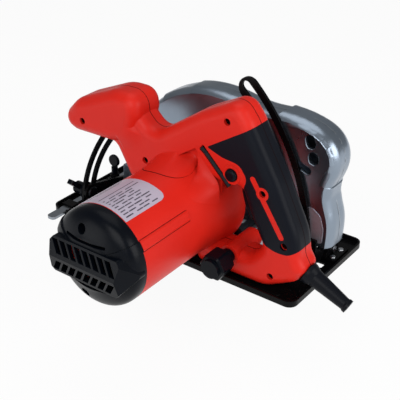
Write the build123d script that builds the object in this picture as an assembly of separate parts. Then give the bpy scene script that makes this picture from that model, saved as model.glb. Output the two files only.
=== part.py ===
from build123d import *
from math import atan2, cos, degrees, hypot, radians, sin, tan
import os

os.makedirs("parts", exist_ok=True)

# Frame: +X is the cutting direction, +Y the motor side, +Z up from the shoe.
# The origin is the middle of the shoe's underside; all sizes are millimetres.

# Shoe
SHOE_L = 295.0
SHOE_W = 132.6
SHOE_T = 2.0
RIM_H = 6.5
SHOE_R = 9.0
SLOT_X = (-119.0, 100.0)
SLOT_Y = (-53.0, -2.5)

# Bevel hinge, along X at the foot of the blade
BEVEL_Y = -33.0
BEVEL_Z = 8.0
BEVEL_MAX = 45.0
PIVOT_R = 2.5
EAR_R = 5.7
QUAD_X = 116.0
QUAD_T = 3.0
QUAD_R = 75.0
QUAD_W = 17.0
BOLT_A = 10.5
BOLT_R = 3.0

# Depth hinge, along Y at the front of the blade guard
DEPTH_X = 95.0
DEPTH_Z = 14.0
DEPTH_MAX = 36.0
DEPTH_PIN_R = 4.0
BAR_R = 204.0
BAR_W = 22.0
BAR_SLOT = 9.0
BAR_T = 3.0
BAR_Y = -9.5

# Motor and gear train
MOTOR_X = -18.4
MOTOR_Z = 59.8
MODULE = 1.25
PINION_N = 9
GEAR_N = 37
CENTRES = MODULE * (PINION_N + GEAR_N) / 2
ARBOR_Z = 33.0
ARBOR_X = MOTOR_X + (CENTRES**2 - (MOTOR_Z - ARBOR_Z) ** 2) ** 0.5
CASE_R = 46.0
FLARE_R = 51.0
CASE_T = 3.0
CASE_Y = (23.0, 162.0)
CAP_END = 184.0
BAND_END = 192.0

# Blade and guards
BLADE_R = 95.0
BLADE_T = 1.8
BLADE_Y = -28.0
TEETH = 24
BORE_R = 10.0
FLANGE_R = 20.0
LOWER_R = 101.0
LOWER_T = 1.6
LOWER_Y = (-38.5, -17.5)
LOWER_A = (185.0, 350.0)
LIFT_MAX = 115.0
LEVER_R = 50.0
LEVER_A = 191.0
GUARD_R = 113.0
GUARD_Y = (-47.0, -10.0)
GUARD_T = 3.5
GUARD_Z = 20.0
RIM_R = 14.0
RIM_CUT = 3.5
NOSE_R = 21.9

# Handle
MID_Y = 43.0
HANDLE_T = 33.0
HANDLE_ROUND = 10.0
HORN_T = 43.0
HORN_ROUND = 12.0
TPE_T = 2.4
SHELL_T = 4.6
KNOB_X = -75.0
KNOB_Z = 27.0

# Fits and clearances
RUN = 0.05
SLIDE = 0.25
AIR = 0.3


def box(x0, x1, y0, y1, z0, z1):
    return Pos((x0 + x1) / 2, (y0 + y1) / 2, (z0 + z1) / 2) * Box(x1 - x0, y1 - y0, z1 - z0)


def cyl_y(x, z, r, y0, y1):
    return Pos(x, (y0 + y1) / 2, z) * Rot(90, 0, 0) * Cylinder(r, y1 - y0)


def cyl_x(y, z, r, x0, x1):
    return Pos((x0 + x1) / 2, y, z) * Rot(0, 90, 0) * Cylinder(r, x1 - x0)


def cyl_z(x, y, r, z0, z1):
    return Pos(x, y, (z0 + z1) / 2) * Cylinder(r, z1 - z0)


def side_plane(y):
    return Plane(origin=(0, y, 0), x_dir=(1, 0, 0), z_dir=(0, -1, 0))


def prism_y(sketch, y0, y1):
    """Extrudes an X-Z outline from y0 to y1."""
    return extrude(side_plane(y1) * sketch, amount=y1 - y0)


def prism_x(sketch, x0, x1):
    """Extrudes a Y-Z outline from x0 to x1."""
    return extrude(Plane(origin=(x0, 0, 0), x_dir=(0, 1, 0), z_dir=(1, 0, 0)) * sketch, amount=x1 - x0)


def rounded(points):
    """A closed outline of straight runs joined by tangent arcs; points are (u, v, radius)."""
    n = len(points)
    ends = []
    for i in range(n):
        u, v, r = points[i]
        pu, pv, _ = points[i - 1]
        nu, nv, _ = points[(i + 1) % n]
        a = Vector(pu - u, pv - v).normalized()
        b = Vector(nu - u, nv - v).normalized()
        half = a.get_angle(b) / 2
        run = r / tan(radians(half))
        corner = Vector(u, v)
        mid = (a + b).normalized() * (r / sin(radians(half)) - r)
        ends.append((corner + a * run, corner + mid, corner + b * run))
    edges = []
    for i in range(n):
        start, middle, end = ends[i]
        edges.append(ThreePointArc(start, middle, end))
        gap = ends[(i + 1) % n][0] - end
        if gap.length > 1e-4:
            edges.append(Line(end, ends[(i + 1) % n][0]))
    return make_face(edges)


def polygon(points):
    return make_face(Polyline(*points, close=True))


def sector(r0, r1, a0, a1, u=0.0, v=0.0):
    """Ring sector between two radii and two angles, degrees."""
    outer = CenterArc((u, v), r1, a0, a1 - a0)
    inner = CenterArc((u, v), r0, a0, a1 - a0)
    return make_face([outer, inner, Line(outer @ 0, inner @ 0), Line(outer @ 1, inner @ 1)])


def arc_slot(r, width, a0, a1, u=0.0, v=0.0):
    """Slot that follows an arc, with round ends."""
    ring = sector(r - width / 2, r + width / 2, a0, a1, u, v)
    for a in (a0, a1):
        ring += Pos(u + r * cos(radians(a)), v + r * sin(radians(a))) * Circle(width / 2)
    return ring


def polar(u, v, r, a):
    return u + r * cos(radians(a)), v + r * sin(radians(a))


def spin(profile, x, z):
    """Revolves a (radius, y) outline about the Y line through x, z."""
    face = Plane(origin=(x, 0, z), x_dir=(1, 0, 0), z_dir=(0, 0, 1)) * profile
    return revolve(face, axis=Axis((x, 0, z), (0, 1, 0)))


def keep(shape, name):
    solids = shape.solids()
    body = solids[0] if len(solids) == 1 else Compound(children=solids)
    export_step(body, f"parts/{name}.step")


# Shoe: a pressed steel tray with the rim turned up and a wide blade slot
half_l = SHOE_L / 2
half_w = SHOE_W / 2
tray = extrude(RectangleRounded(SHOE_L, SHOE_W, SHOE_R), amount=RIM_H)
inner = Pos(0, 0, SHOE_T) * extrude(
    RectangleRounded(SHOE_L - 2 * SHOE_T, SHOE_W - 2 * SHOE_T, SHOE_R - SHOE_T), amount=RIM_H
)
shoe = fillet(tray.edges().group_by(Axis.Z)[0], 1.2) - inner
slot = Pos((SLOT_X[0] + SLOT_X[1]) / 2, (SLOT_Y[0] + SLOT_Y[1]) / 2) * RectangleRounded(
    SLOT_X[1] - SLOT_X[0], SLOT_Y[1] - SLOT_Y[0], 6
)
shoe -= extrude(slot, amount=RIM_H)
shoe -= extrude(Pos(-131.0, -9.0) * RectangleRounded(9, 9, 2), amount=RIM_H)
FENCE_X = (128.0, 138.0)
FENCE_Z = (SHOE_T + SLIDE, SHOE_T + SLIDE + 3.0)
for side in (-1, 1):
    notch_y = side * half_w
    shoe -= box(FENCE_X[0] - SLIDE, FENCE_X[1] + SLIDE, notch_y - 4, notch_y + 4, SHOE_T, RIM_H + 1)
for y, x0, x1 in ((56.0, -128.0, 96.0), (20.0, 20.0, 96.0), (20.0, -128.0, -20.0)):
    bead = Pos((x0 + x1) / 2, y, SHOE_T) * extrude(SlotOverall(x1 - x0, 5), amount=1.0)
    shoe += fillet(bead.edges().group_by(Axis.Z)[-1], 0.7)
keep(shoe, "shoe_plate")

# Front quadrant: a slotted arc plate standing on the shoe, with the front bevel pivot ear
quad = sector(QUAD_R - QUAD_W / 2, QUAD_R + QUAD_W / 2, 4.0, BOLT_A + BEVEL_MAX + 5, BEVEL_Y, BEVEL_Z)
quad += polygon([(-44, SHOE_T), (57, SHOE_T), (57, 15), (-26, 11), (-44, 11)])
quad += Pos(BEVEL_Y, BEVEL_Z) * Circle(7)
quad -= arc_slot(QUAD_R, 2 * BOLT_R + 1.2, BOLT_A - 1.0, BOLT_A + BEVEL_MAX + 1.0, BEVEL_Y, BEVEL_Z)
quadrant = prism_x(quad, QUAD_X, QUAD_X + QUAD_T)
quadrant -= box(QUAD_X - 1, QUAD_X + QUAD_T + 1, -60, 80, -5, SHOE_T)
quadrant += box(QUAD_X - 14, QUAD_X + QUAD_T, 24, 57, SHOE_T, SHOE_T + 2.5)
quadrant += box(QUAD_X, QUAD_X + 9, -22, 14, SHOE_T, SHOE_T + 2.5)
quadrant -= cyl_x(BEVEL_Y, BEVEL_Z, PIVOT_R, QUAD_X - 1, QUAD_X + QUAD_T + 1)
FOOT_RIVETS = ((QUAD_X - 8, 31.0), (QUAD_X - 8, 50.0), (QUAD_X + 6, -15.0), (QUAD_X + 6, 6.0))
for x, y in FOOT_RIVETS:
    quadrant -= cyl_z(x, y, 2.0, 0, 10)
keep(quadrant, "bevel_quadrant")

# Rear upright: bent plate behind the slot with the rear bevel pivot ear
REAR_X = -132.0
upright = polygon([(-46, SHOE_T), (-18, SHOE_T), (-24, 12), (-40, 12)])
upright += Pos(BEVEL_Y, BEVEL_Z) * Circle(7)
rear = prism_x(upright, REAR_X, REAR_X + 3)
rear -= box(-200, 0, -100, 100, -5, SHOE_T)
rear += box(REAR_X - 10, REAR_X + 3, -46, -18, SHOE_T, SHOE_T + 2.5)
rear -= cyl_x(BEVEL_Y, BEVEL_Z, PIVOT_R, REAR_X - 1, REAR_X + 4)
REAR_RIVETS = ((REAR_X - 5, -40.0), (REAR_X - 5, -24.0))
for x, y in REAR_RIVETS:
    rear -= cyl_z(x, y, 2.0, 0, 10)
keep(rear, "rear_upright")

# Rivets that hold the quadrant and the upright to the shoe
rivets = []
for x, y in FOOT_RIVETS + REAR_RIVETS:
    head = Pos(x, y, SHOE_T + 2.5) * extrude(Circle(2.9), amount=1.4)
    head = fillet(head.edges().group_by(Axis.Z)[-1], 1.1)
    rivets.append(head + cyl_z(x, y, 2.0 - RUN, SHOE_T, SHOE_T + 2.5))
export_step(Compound(children=rivets), "parts/shoe_rivets.step")

# Bevel pivot pins, one at each end of the shoe, headed outside
YOKE_X = QUAD_X - SLIDE - 3.0
REAR_YOKE_X = REAR_X + 3 + SLIDE
pins = []
for x0, x1, head in (
    (YOKE_X - 1.5, QUAD_X + QUAD_T, QUAD_X + QUAD_T),
    (REAR_X, REAR_YOKE_X + 4.5, REAR_X - 2.2),
):
    pin = cyl_x(BEVEL_Y, BEVEL_Z, PIVOT_R, x0, x1)
    pin += cyl_x(BEVEL_Y, BEVEL_Z, 3.4, head, head + 2.2)
    pins.append(pin)
export_step(Compound(children=pins), "parts/bevel_pins.step")

# Bridges over the fence bar, the right one with the threaded boss of the clamp screw
CLAMP_X = (FENCE_X[0] + FENCE_X[1]) / 2
CLAMP_Y = -17.0
BRIDGE_Z = FENCE_Z[1] + SLIDE
bridges = []
for y0, y1 in ((CLAMP_Y - 6, CLAMP_Y + 6), (48.0, 58.0)):
    strap = box(FENCE_X[0] - 3, FENCE_X[1] + 3, y0, y1, SHOE_T, BRIDGE_Z + 2)
    strap = fillet(strap.edges().filter_by(Axis.Y).group_by(Axis.Z)[-1], 1.5)
    strap -= box(FENCE_X[0] - SLIDE, FENCE_X[1] + SLIDE, y0 - 1, y1 + 1, SHOE_T - 1, BRIDGE_Z)
    if y0 < 0:
        strap += cyl_z(CLAMP_X, CLAMP_Y, 5.0, BRIDGE_Z + 1, BRIDGE_Z + 8)
        strap -= cyl_z(CLAMP_X, CLAMP_Y, 2.5, SHOE_T, 30)
    bridges.append(strap)
export_step(Compound(children=bridges), "parts/fence_bridges.step")

# Rip fence: a zinc-plated bar with the guide plate bent down on the blade side
GUIDE_Y = -97.0
bar = box(FENCE_X[0], FENCE_X[1], GUIDE_Y, 84, FENCE_Z[0], FENCE_Z[1])
bar = fillet(bar.edges().filter_by(Axis.Z).group_by(Axis.Y)[-1], 3.5)
guide = rounded(
    [
        (58, -13, 5),
        (FENCE_X[1], -13, 5),
        (FENCE_X[1], FENCE_Z[1], 0.5),
        (FENCE_X[0] - 8, FENCE_Z[1], 2),
        (FENCE_X[0] - 16, -1, 4),
        (58, -1, 3),
    ]
)
fence = bar + prism_y(guide, GUIDE_Y - 2, GUIDE_Y)
keep(fence, "rip_fence")

# Fence clamp screw: threaded shank under a flat round paddle
screw = cyl_z(CLAMP_X, CLAMP_Y, 2.5 - RUN, FENCE_Z[1] + RUN, BRIDGE_Z + 15)
screw += cyl_z(CLAMP_X, CLAMP_Y, 3.6, BRIDGE_Z + 9, BRIDGE_Z + 16)
paddle = cyl_y(CLAMP_X, 29, 7.0, CLAMP_Y - 2, CLAMP_Y + 2)
screw += fillet(paddle.edges(), 1.4)
keep(screw, "fence_screw")

# Front yoke: plate behind the quadrant, with two ears that carry the depth pin
BOLT_Y, BOLT_Z = polar(BEVEL_Y, BEVEL_Z, QUAD_R, BOLT_A)
yoke_plate = make_hull(
    (Pos(BEVEL_Y, BEVEL_Z) * Circle(EAR_R)).edges() + (Pos(BOLT_Y, BOLT_Z) * Circle(9)).edges()
)
yoke = prism_x(yoke_plate, YOKE_X, YOKE_X + 3)
EAR_Y = ((-9.0, -6.0), (6.0, 9.0))
for y0, y1 in EAR_Y:
    ear = rounded(
        [(DEPTH_X - 9, DEPTH_Z - 8, 6), (YOKE_X, DEPTH_Z - 6, 0.5), (YOKE_X, 19, 0.5), (DEPTH_X - 9, 21, 6)]
    )
    yoke += prism_y(ear, y0, y1)
yoke -= cyl_x(BEVEL_Y, BEVEL_Z, PIVOT_R + RUN, YOKE_X - 1, YOKE_X + 4)
yoke -= cyl_x(BOLT_Y, BOLT_Z, BOLT_R, YOKE_X - 1, YOKE_X + 4)
yoke -= cyl_y(DEPTH_X, DEPTH_Z, DEPTH_PIN_R, -12, 12)
keep(yoke, "front_yoke")

# Depth pin: plain pin with a head, pressed into both yoke ears
pin = cyl_y(DEPTH_X, DEPTH_Z, DEPTH_PIN_R, EAR_Y[0][0], EAR_Y[1][1])
pin += cyl_y(DEPTH_X, DEPTH_Z, DEPTH_PIN_R + 2.2, EAR_Y[1][1], EAR_Y[1][1] + 2.5)
keep(pin, "depth_pin")

# Bevel bolt: round-headed bolt fixed in the yoke, through the quadrant slot
BOLT_END = 133.0
bolt = cyl_x(BOLT_Y, BOLT_Z, BOLT_R, YOKE_X, BOLT_END)
bolt_head = cyl_x(BOLT_Y, BOLT_Z, 6.5, YOKE_X - 3, YOKE_X)
bolt += fillet(bolt_head.edges().group_by(Axis.X)[0], 2.2)
keep(bolt, "bevel_bolt")

# Bevel clamp: hub with a flange against the quadrant and one finger lever
ARM_TURN = 42.0
WING_X = QUAD_X + QUAD_T
wing = cyl_x(BOLT_Y, BOLT_Z, 9.0, WING_X + SLIDE, WING_X + 3)
wing += cyl_x(BOLT_Y, BOLT_Z, 6.5, WING_X + 2, WING_X + 15)
lever_arm = rounded(
    [(-4, 0, 2), (4, 0, 2), (5.5, 14, 3), (3.5, 21, 3), (-3.5, 21, 3), (-5.5, 14, 3)]
)
wing += Pos(WING_X + 9.5, BOLT_Y, BOLT_Z) * Rot(ARM_TURN, 0, 0) * Pos(0, 0, -2.5) * extrude(lever_arm, amount=5)
wing -= cyl_x(BOLT_Y, BOLT_Z, BOLT_R + RUN, WING_X - 1, BOLT_END + SLIDE)
keep(wing, "bevel_knob")

# Rear yoke: hinged plate with a flange that carries the foot of the depth bar
BAR_FACE = BAR_Y + BAR_T
rear_plate = make_hull(
    (Pos(BEVEL_Y, BEVEL_Z) * Circle(EAR_R)).edges() + (Pos(-14, 8) * Circle(EAR_R)).edges()
)
rear_yoke = prism_x(rear_plate, REAR_YOKE_X, REAR_YOKE_X + 3)
rear_yoke += box(REAR_YOKE_X, REAR_YOKE_X + 3, -16, BAR_FACE + 3, 3, 17.5)
rear_yoke += box(REAR_YOKE_X, REAR_YOKE_X + 3, BAR_FACE, BAR_FACE + 3, 3, 26)
flange = rounded([(REAR_YOKE_X, 3, 1), (-92, 3, 4), (-92, 20, 4), (-104, 29, 4), (REAR_YOKE_X, 29, 1)])
rear_yoke += prism_y(flange, BAR_FACE, BAR_FACE + 3)
rear_yoke -= cyl_x(BEVEL_Y, BEVEL_Z, PIVOT_R + RUN, REAR_YOKE_X - 1, REAR_YOKE_X + 4)
BAR_RIVETS = (polar(DEPTH_X, DEPTH_Z, BAR_R - 5, 177.2), polar(DEPTH_X, DEPTH_Z, BAR_R + 5, 177.2))
for x, z in BAR_RIVETS:
    rear_yoke -= cyl_y(x, z, 2.5, BAR_FACE - 1, BAR_FACE + 4)
keep(rear_yoke, "rear_yoke")

# Depth bar: slotted strap bent to an arc about the depth pin
CLAMP_A = 170.0
BAR_A = (131.5, 180.5)
strap = sector(BAR_R - BAR_W / 2, BAR_R + BAR_W / 2, BAR_A[0] + 2.6, BAR_A[1], DEPTH_X, DEPTH_Z)
strap += Pos(*polar(DEPTH_X, DEPTH_Z, BAR_R, BAR_A[0] + 2.7)) * Circle(BAR_W / 2)
strap -= arc_slot(BAR_R, BAR_SLOT, CLAMP_A - DEPTH_MAX - 0.8, CLAMP_A + 0.8, DEPTH_X, DEPTH_Z)
depth_bar = prism_y(strap, BAR_Y, BAR_FACE)
depth_bar -= box(-200, 0, -20, 20, -20, 3)
for x, z in BAR_RIVETS:
    depth_bar -= cyl_y(x, z, 2.5, BAR_Y - 1, BAR_FACE + 1)
keep(depth_bar, "depth_bar")

# Rivets through the depth bar and the rear yoke flange
rivets = []
for x, z in BAR_RIVETS:
    rivet = cyl_y(x, z, 2.5 - RUN, BAR_Y, BAR_FACE + 3)
    rivets.append(rivet + cyl_y(x, z, 4.2, BAR_FACE + 3, BAR_FACE + 4.6))
export_step(Compound(children=rivets), "parts/bar_rivets.step")

# Gear case: cast aluminium box between the blade guard and the motor
PLATE_Y = 20.0
SEAT_Y = (-4.0, 5.0)
CHAMBER_Y = 6.0
case_outline = make_hull(
    (Pos(ARBOR_X, ARBOR_Z) * Circle(28.5)).edges() + (Pos(MOTOR_X, MOTOR_Z) * Circle(13)).edges()
)
CASE_SCREWS = [polar(ARBOR_X, ARBOR_Z, 31, a) for a in (45, 172, 320)]
gear_case = prism_y(case_outline, GUARD_Y[1], PLATE_Y)
for x, z in CASE_SCREWS:
    gear_case += cyl_y(x, z, 4.6, GUARD_Y[1], PLATE_Y)
gear_case += cyl_y(ARBOR_X, ARBOR_Z, NOSE_R, -18, GUARD_Y[1])
gear_case -= cyl_y(ARBOR_X, ARBOR_Z, 8.3, -19, 0)
gear_case -= cyl_y(ARBOR_X, ARBOR_Z, 16.0, SEAT_Y[0], CHAMBER_Y)
gear_case -= cyl_y(ARBOR_X, ARBOR_Z, 25.5, CHAMBER_Y, PLATE_Y)
gear_case -= cyl_y(MOTOR_X, MOTOR_Z, 9.0, CHAMBER_Y, PLATE_Y)
for x, z in CASE_SCREWS:
    gear_case -= cyl_y(x, z, 2.0, -6, PLATE_Y)
keep(gear_case, "gear_case")

# Bearing plate: closes the gear case and holds the motor's front bearing and the spindle bush
plate = cyl_y(MOTOR_X, MOTOR_Z, 47.5, PLATE_Y, CASE_Y[0]) + prism_y(case_outline, PLATE_Y, CASE_Y[0])
for x, z in CASE_SCREWS:
    plate += cyl_y(x, z, 4.6, PLATE_Y, CASE_Y[0])
plate += cyl_y(MOTOR_X, MOTOR_Z, 16.0, CASE_Y[0], 34)
plate += cyl_y(ARBOR_X, ARBOR_Z, 10.5, CASE_Y[0], 30)
plate -= cyl_y(MOTOR_X, MOTOR_Z, 8.0, PLATE_Y, 40)
plate -= cyl_y(MOTOR_X, MOTOR_Z, 13.0, 25, 40)
plate -= cyl_y(ARBOR_X, ARBOR_Z, 8.0, PLATE_Y, 29)
for x, z in CASE_SCREWS:
    plate -= cyl_y(x, z, 2.3, PLATE_Y - 1, CASE_Y[0] + 1)
keep(plate, "bearing_plate")

screws = []
for x, z in CASE_SCREWS:
    screws.append(cyl_y(x, z, 2.0 - RUN, 2, CASE_Y[0]) + cyl_y(x, z, 4.0, CASE_Y[0], CASE_Y[0] + 3))
export_step(Compound(children=screws), "parts/case_screws.step")


def ring(x, z, r0, r1, y0, y1):
    return cyl_y(x, z, r1, y0, y1) - cyl_y(x, z, r0, y0 - 1, y1 + 1)


def bearing(x, z, r0, r1, y0, y1):
    """Shielded ball bearing as one piece: two races and a sunk shield."""
    body = ring(x, z, r0, r1, y0, y1)
    mid = (r0 + r1) / 2
    for y in (y0, y1):
        body -= ring(x, z, mid - (r1 - r0) * 0.22, mid + (r1 - r0) * 0.22, y - 0.6, y + 0.6)
    return body


keep(bearing(ARBOR_X, ARBOR_Z, 7.5 + 0.01, 16.0 - 0.01, *SEAT_Y), "spindle_bearing")
keep(bearing(MOTOR_X, MOTOR_Z, 5.0 + 0.01, 13.0 - 0.01, 25.0, 33.0), "front_bearing")
REAR_SEAT = (158.0, 165.0)
keep(bearing(MOTOR_X, MOTOR_Z, 4.0 + 0.01, 11.0 - 0.01, *REAR_SEAT), "rear_bearing")
keep(ring(ARBOR_X, ARBOR_Z, 6.0 + RUN, 8.0 - 0.01, 20.5, 29.0), "spindle_bush")

# Spindle with the drive gear, flanges, blade and bolt
FACE_L = BLADE_Y + BLADE_T / 2
FACE_R = BLADE_Y - BLADE_T / 2
GEAR_Y = (8.5, 18.5)
spindle = cyl_y(ARBOR_X, ARBOR_Z, 7.5, FACE_R + 0.4, 8.0)
spindle += cyl_y(ARBOR_X, ARBOR_Z, 8.1, -21, SEAT_Y[0])
spindle += cyl_y(ARBOR_X, ARBOR_Z, 9.0, SEAT_Y[1], GEAR_Y[0])
spindle += cyl_y(ARBOR_X, ARBOR_Z, 7.0, 8.0, 19.5) + cyl_y(ARBOR_X, ARBOR_Z, 6.0, 19.5, 28.5)
spindle -= cyl_y(ARBOR_X, ARBOR_Z, 4.0, -40, -12)
keep(spindle, "spindle")


def toothed(n, root, tip, w_root, w_pitch, w_tip, phase):
    """Gear outline with straight-sided teeth; widths are shares of the pitch angle."""
    pitch = 360 / n
    mid = (root + tip) / 2
    points = []
    for i in range(n):
        a = phase + i * pitch
        for share, r in ((-w_root, root), (-w_pitch, mid), (-w_tip, tip), (w_tip, tip), (w_pitch, mid), (w_root, root)):
            points.append(polar(0, 0, r, a + share * pitch / 2))
    return polygon(points)


line_a = degrees(atan2(MOTOR_Z - ARBOR_Z, MOTOR_X - ARBOR_X))
gear_face = toothed(GEAR_N, GEAR_N * MODULE / 2 - 1.5, GEAR_N * MODULE / 2 + MODULE, 0.56, 0.42, 0.2, line_a)
gear = prism_y(Pos(ARBOR_X, ARBOR_Z) * gear_face, *GEAR_Y)
gear -= cyl_y(ARBOR_X, ARBOR_Z, 7.0, 0, 30)
gear -= ring(ARBOR_X, ARBOR_Z, 11.5, 18.5, GEAR_Y[1] - 2.5, GEAR_Y[1] + 1)
keep(gear, "drive_gear")

inner_flange = cyl_y(ARBOR_X, ARBOR_Z, FLANGE_R, FACE_L, -21)
inner_flange += cyl_y(ARBOR_X, ARBOR_Z, BORE_R - RUN, FACE_R + 0.2, FACE_L)
inner_flange -= cyl_y(ARBOR_X, ARBOR_Z, 7.5, -40, 0)
inner_flange -= ring(ARBOR_X, ARBOR_Z, 11.0, 16.0, FACE_L - 1, FACE_L + 0.8)
keep(inner_flange, "inner_flange")

outer_flange = cyl_y(ARBOR_X, ARBOR_Z, FLANGE_R, FACE_R - 3.2, FACE_R)
outer_flange = chamfer(outer_flange.edges().group_by(Axis.Y)[0], 1.2)
outer_flange -= cyl_y(ARBOR_X, ARBOR_Z, 4.2, -50, 0)
outer_flange -= ring(ARBOR_X, ARBOR_Z, 8.0, 16.0, FACE_R - 0.8, FACE_R + 1)
keep(outer_flange, "outer_flange")

HEAD_Y = FACE_R - 3.2
blade_bolt = prism_y(Pos(ARBOR_X, ARBOR_Z) * RegularPolygon(7.5, 6), HEAD_Y - 6, HEAD_Y - 1.5)
blade_bolt += cyl_y(ARBOR_X, ARBOR_Z, 9.0, HEAD_Y - 1.5, HEAD_Y)
blade_bolt += cyl_y(ARBOR_X, ARBOR_Z, 4.0 - RUN, HEAD_Y, -14)
keep(blade_bolt, "blade_bolt")

teeth = []
tooth = 360 / TEETH
for i in range(TEETH):
    a = -i * tooth
    for share, r in ((0.0, BLADE_R), (0.16, BLADE_R - 1.2), (0.42, BLADE_R - 4.0), (0.62, BLADE_R - 9.0)):
        teeth.append(polar(0, 0, r, a - share * tooth))
    teeth.append(polar(0, 0, BLADE_R - 10.5, a - 0.8 * tooth))
    teeth.append(polar(0, 0, BLADE_R - 7.5, a - 0.965 * tooth))
blade_face = polygon(teeth) - Circle(BORE_R)
for i in range(4):
    gap = Pos(BLADE_R - 22, 0) * Rectangle(26, 1.2) + Pos(BLADE_R - 35, 0) * Circle(2.6)
    blade_face -= Rot(0, 0, i * 90 - 0.8 * tooth) * gap
blade = prism_y(Pos(ARBOR_X, ARBOR_Z) * blade_face, FACE_R, FACE_L)
keep(blade, "saw_blade")

# Lower guard: sheet shell round the lower half of the blade, turning on the gear case nose
low0, low1 = LOWER_Y
centre = Pos(ARBOR_X, ARBOR_Z)
lower = prism_y(centre * sector(LOWER_R - LOWER_T, LOWER_R, *LOWER_A), low0, low1)
lower += prism_y(centre * sector(24, LOWER_R - 0.5, *LOWER_A), low1 - LOWER_T, low1)
lower += prism_y(centre * sector(68, LOWER_R - 0.5, *LOWER_A), low0, low0 + LOWER_T)
lower += cyl_y(ARBOR_X, ARBOR_Z, 28, low1 - LOWER_T, -15)
lower -= cyl_y(ARBOR_X, ARBOR_Z, NOSE_R + RUN, -30, 0)
lower -= prism_y(centre * arc_slot(72, 22, 225, 320), low1 - LOWER_T - 1, low1 + 1)
keep(lower, "lower_guard")

# Lift lever of the lower guard: a bar that comes out through the slot in the upper guard
LEVER_END = PLATE_Y - 0.8
lever = prism_y(Pos(LEVER_R, 0) * RectangleRounded(9, 7, 2.2), low1, LEVER_END)
lever += prism_y(Pos(LEVER_R, 0) * RectangleRounded(9, 11, 3), LEVER_END - 10, LEVER_END)
lever = Pos(ARBOR_X, 0, ARBOR_Z) * Rot(0, -LEVER_A, 0) * lever
keep(lever, "guard_lever")

# Return spring of the lower guard, wound round the nose
coil_path = Helix(pitch=1.45, height=3.1, radius=24.6)
coil = sweep(Plane(coil_path @ 0, z_dir=coil_path % 0) * Circle(0.6), path=coil_path, is_frenet=True)
keep(Pos(ARBOR_X, -10.9, ARBOR_Z) * Rot(90, 0, 0) * coil, "guard_spring")

# Upper guard: cast shell, a drum over the blade that runs back into the chip duct
drum = CenterArc((ARBOR_X, ARBOR_Z), GUARD_R, -8.0, 110.4)
duct = Spline(
    drum @ 1,
    (-56, 140.0),
    (-86, 141.0),
    (-112, 138.0),
    (-131, 127.5),
    (-139.5, 110),
    (-137.5, 92),
    (-132.5, 76),
    (-135, 62),
    (-139.5, 46),
    (-139.5, 24),
    (-139.0, 4),
    tangents=(drum % 1, (0, -1)),
)
guard_outline = make_face([drum, duct, Line(duct @ 1, (90, 4)), Line((90, 4), drum @ 0)])
guard = prism_y(guard_outline, GUARD_Y[0], GUARD_Y[1] + RIM_CUT)
rim_edges = guard.edges().filter_by(lambda e: e.length > 150 and abs(e.bounding_box().size.Y) < 0.01)
rim_edges = rim_edges.filter_by(lambda e: e.bounding_box().max.Z > 60)
guard = fillet(rim_edges, RIM_R) - box(-200, 200, GUARD_Y[1], GUARD_Y[1] + 20, -20, 200)
wall_points = []
for i in range(13):
    run = duct % (i / 12)
    point = duct @ (i / 12)
    wall_points.append((point.X - run.Y * GUARD_T, point.Y + run.X * GUARD_T))
drum_in = CenterArc((ARBOR_X, ARBOR_Z), GUARD_R - GUARD_T, -8.0, 110.4)
duct_in = Spline(drum_in @ 1, *wall_points[1:], tangents=(drum_in % 1, (0, -1)))
inner_outline = make_face([drum_in, duct_in, Line(duct_in @ 1, (90, 4)), Line((90, 4), drum_in @ 0)])
cavity = prism_y(inner_outline, GUARD_Y[0] + GUARD_T, GUARD_Y[1] - GUARD_T)
cavity_edges = cavity.edges().filter_by(lambda e: e.length > 140 and abs(e.bounding_box().size.Y) < 0.01)
cavity_edges = cavity_edges.filter_by(lambda e: e.bounding_box().max.Z > 60)
cavity = fillet(cavity_edges, RIM_R - GUARD_T)
guard -= cavity
guard -= box(-200, 200, -60, 20, -20, GUARD_Z)
guard -= cyl_y(ARBOR_X, ARBOR_Z, 26.5, -20, 0)
guard -= cyl_y(ARBOR_X, ARBOR_Z, 52, -60, -30) + box(ARBOR_X - 52, ARBOR_X + 52, -60, -30, 0, ARBOR_Z)
guard -= prism_y(centre * arc_slot(LEVER_R, 11.5, LEVER_A - LIFT_MAX - 3, LEVER_A + 3), -20, 0)
for x, z, tilt, long, wide in ((-112.5, 124, 75, 14, 10.5), (-116.5, 108.5, 85, 13, 11), (-107, 96.5, 20, 17, 8)):
    guard -= prism_y(Pos(x, z) * Rot(0, 0, tilt) * SlotOverall(long, wide), -20, 0)
guard += box(80, 99, -13, 5.5, 27, 44)
lug = make_hull((Pos(DEPTH_X, DEPTH_Z) * Circle(8)).edges() + (Pos(89.5, 36) * Circle(8)).edges())
guard += prism_y(lug, -5.5, 5.5)
guard += cyl_y(KNOB_X, KNOB_Z, 6.5, -13, BAR_FACE - 0.1)
guard -= cyl_y(KNOB_X, KNOB_Z, 4.0, -14, 0)
guard -= cyl_y(DEPTH_X, DEPTH_Z, DEPTH_PIN_R + RUN, -20, 20)
keep(guard, "upper_guard")

# Motor housing: moulded tube that flares towards the handle
flare = Spline((FLARE_R, 29), (FLARE_R - 1.4, 42), (CASE_R + 1.0, 62), (CASE_R, 82), tangents=((0, 1), (0, 1)))
front_round = ThreePointArc((FLARE_R - 3.5, CASE_Y[0]), (FLARE_R - 0.9, 25.2), (FLARE_R, 29))
case_in = CASE_R - CASE_T
tube = make_face(
    [
        front_round,
        flare,
        Line((CASE_R, 82), (CASE_R, CASE_Y[1])),
        Line((CASE_R, CASE_Y[1]), (case_in, CASE_Y[1])),
        Line((case_in, CASE_Y[1]), (case_in, CASE_Y[0])),
        Line((case_in, CASE_Y[0]), (FLARE_R - 3.5, CASE_Y[0])),
    ]
)
housing = spin(tube, MOTOR_X, MOTOR_Z)
motor = Pos(MOTOR_X, 0, MOTOR_Z)
for a in (152, 28):
    strip = prism_y(Pos(45.4, 0) * RectangleRounded(4.4, 9.5, 2), 100, CASE_Y[1])
    housing += motor * Rot(0, -a, 0) * strip
STATOR_R = 40.0
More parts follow.
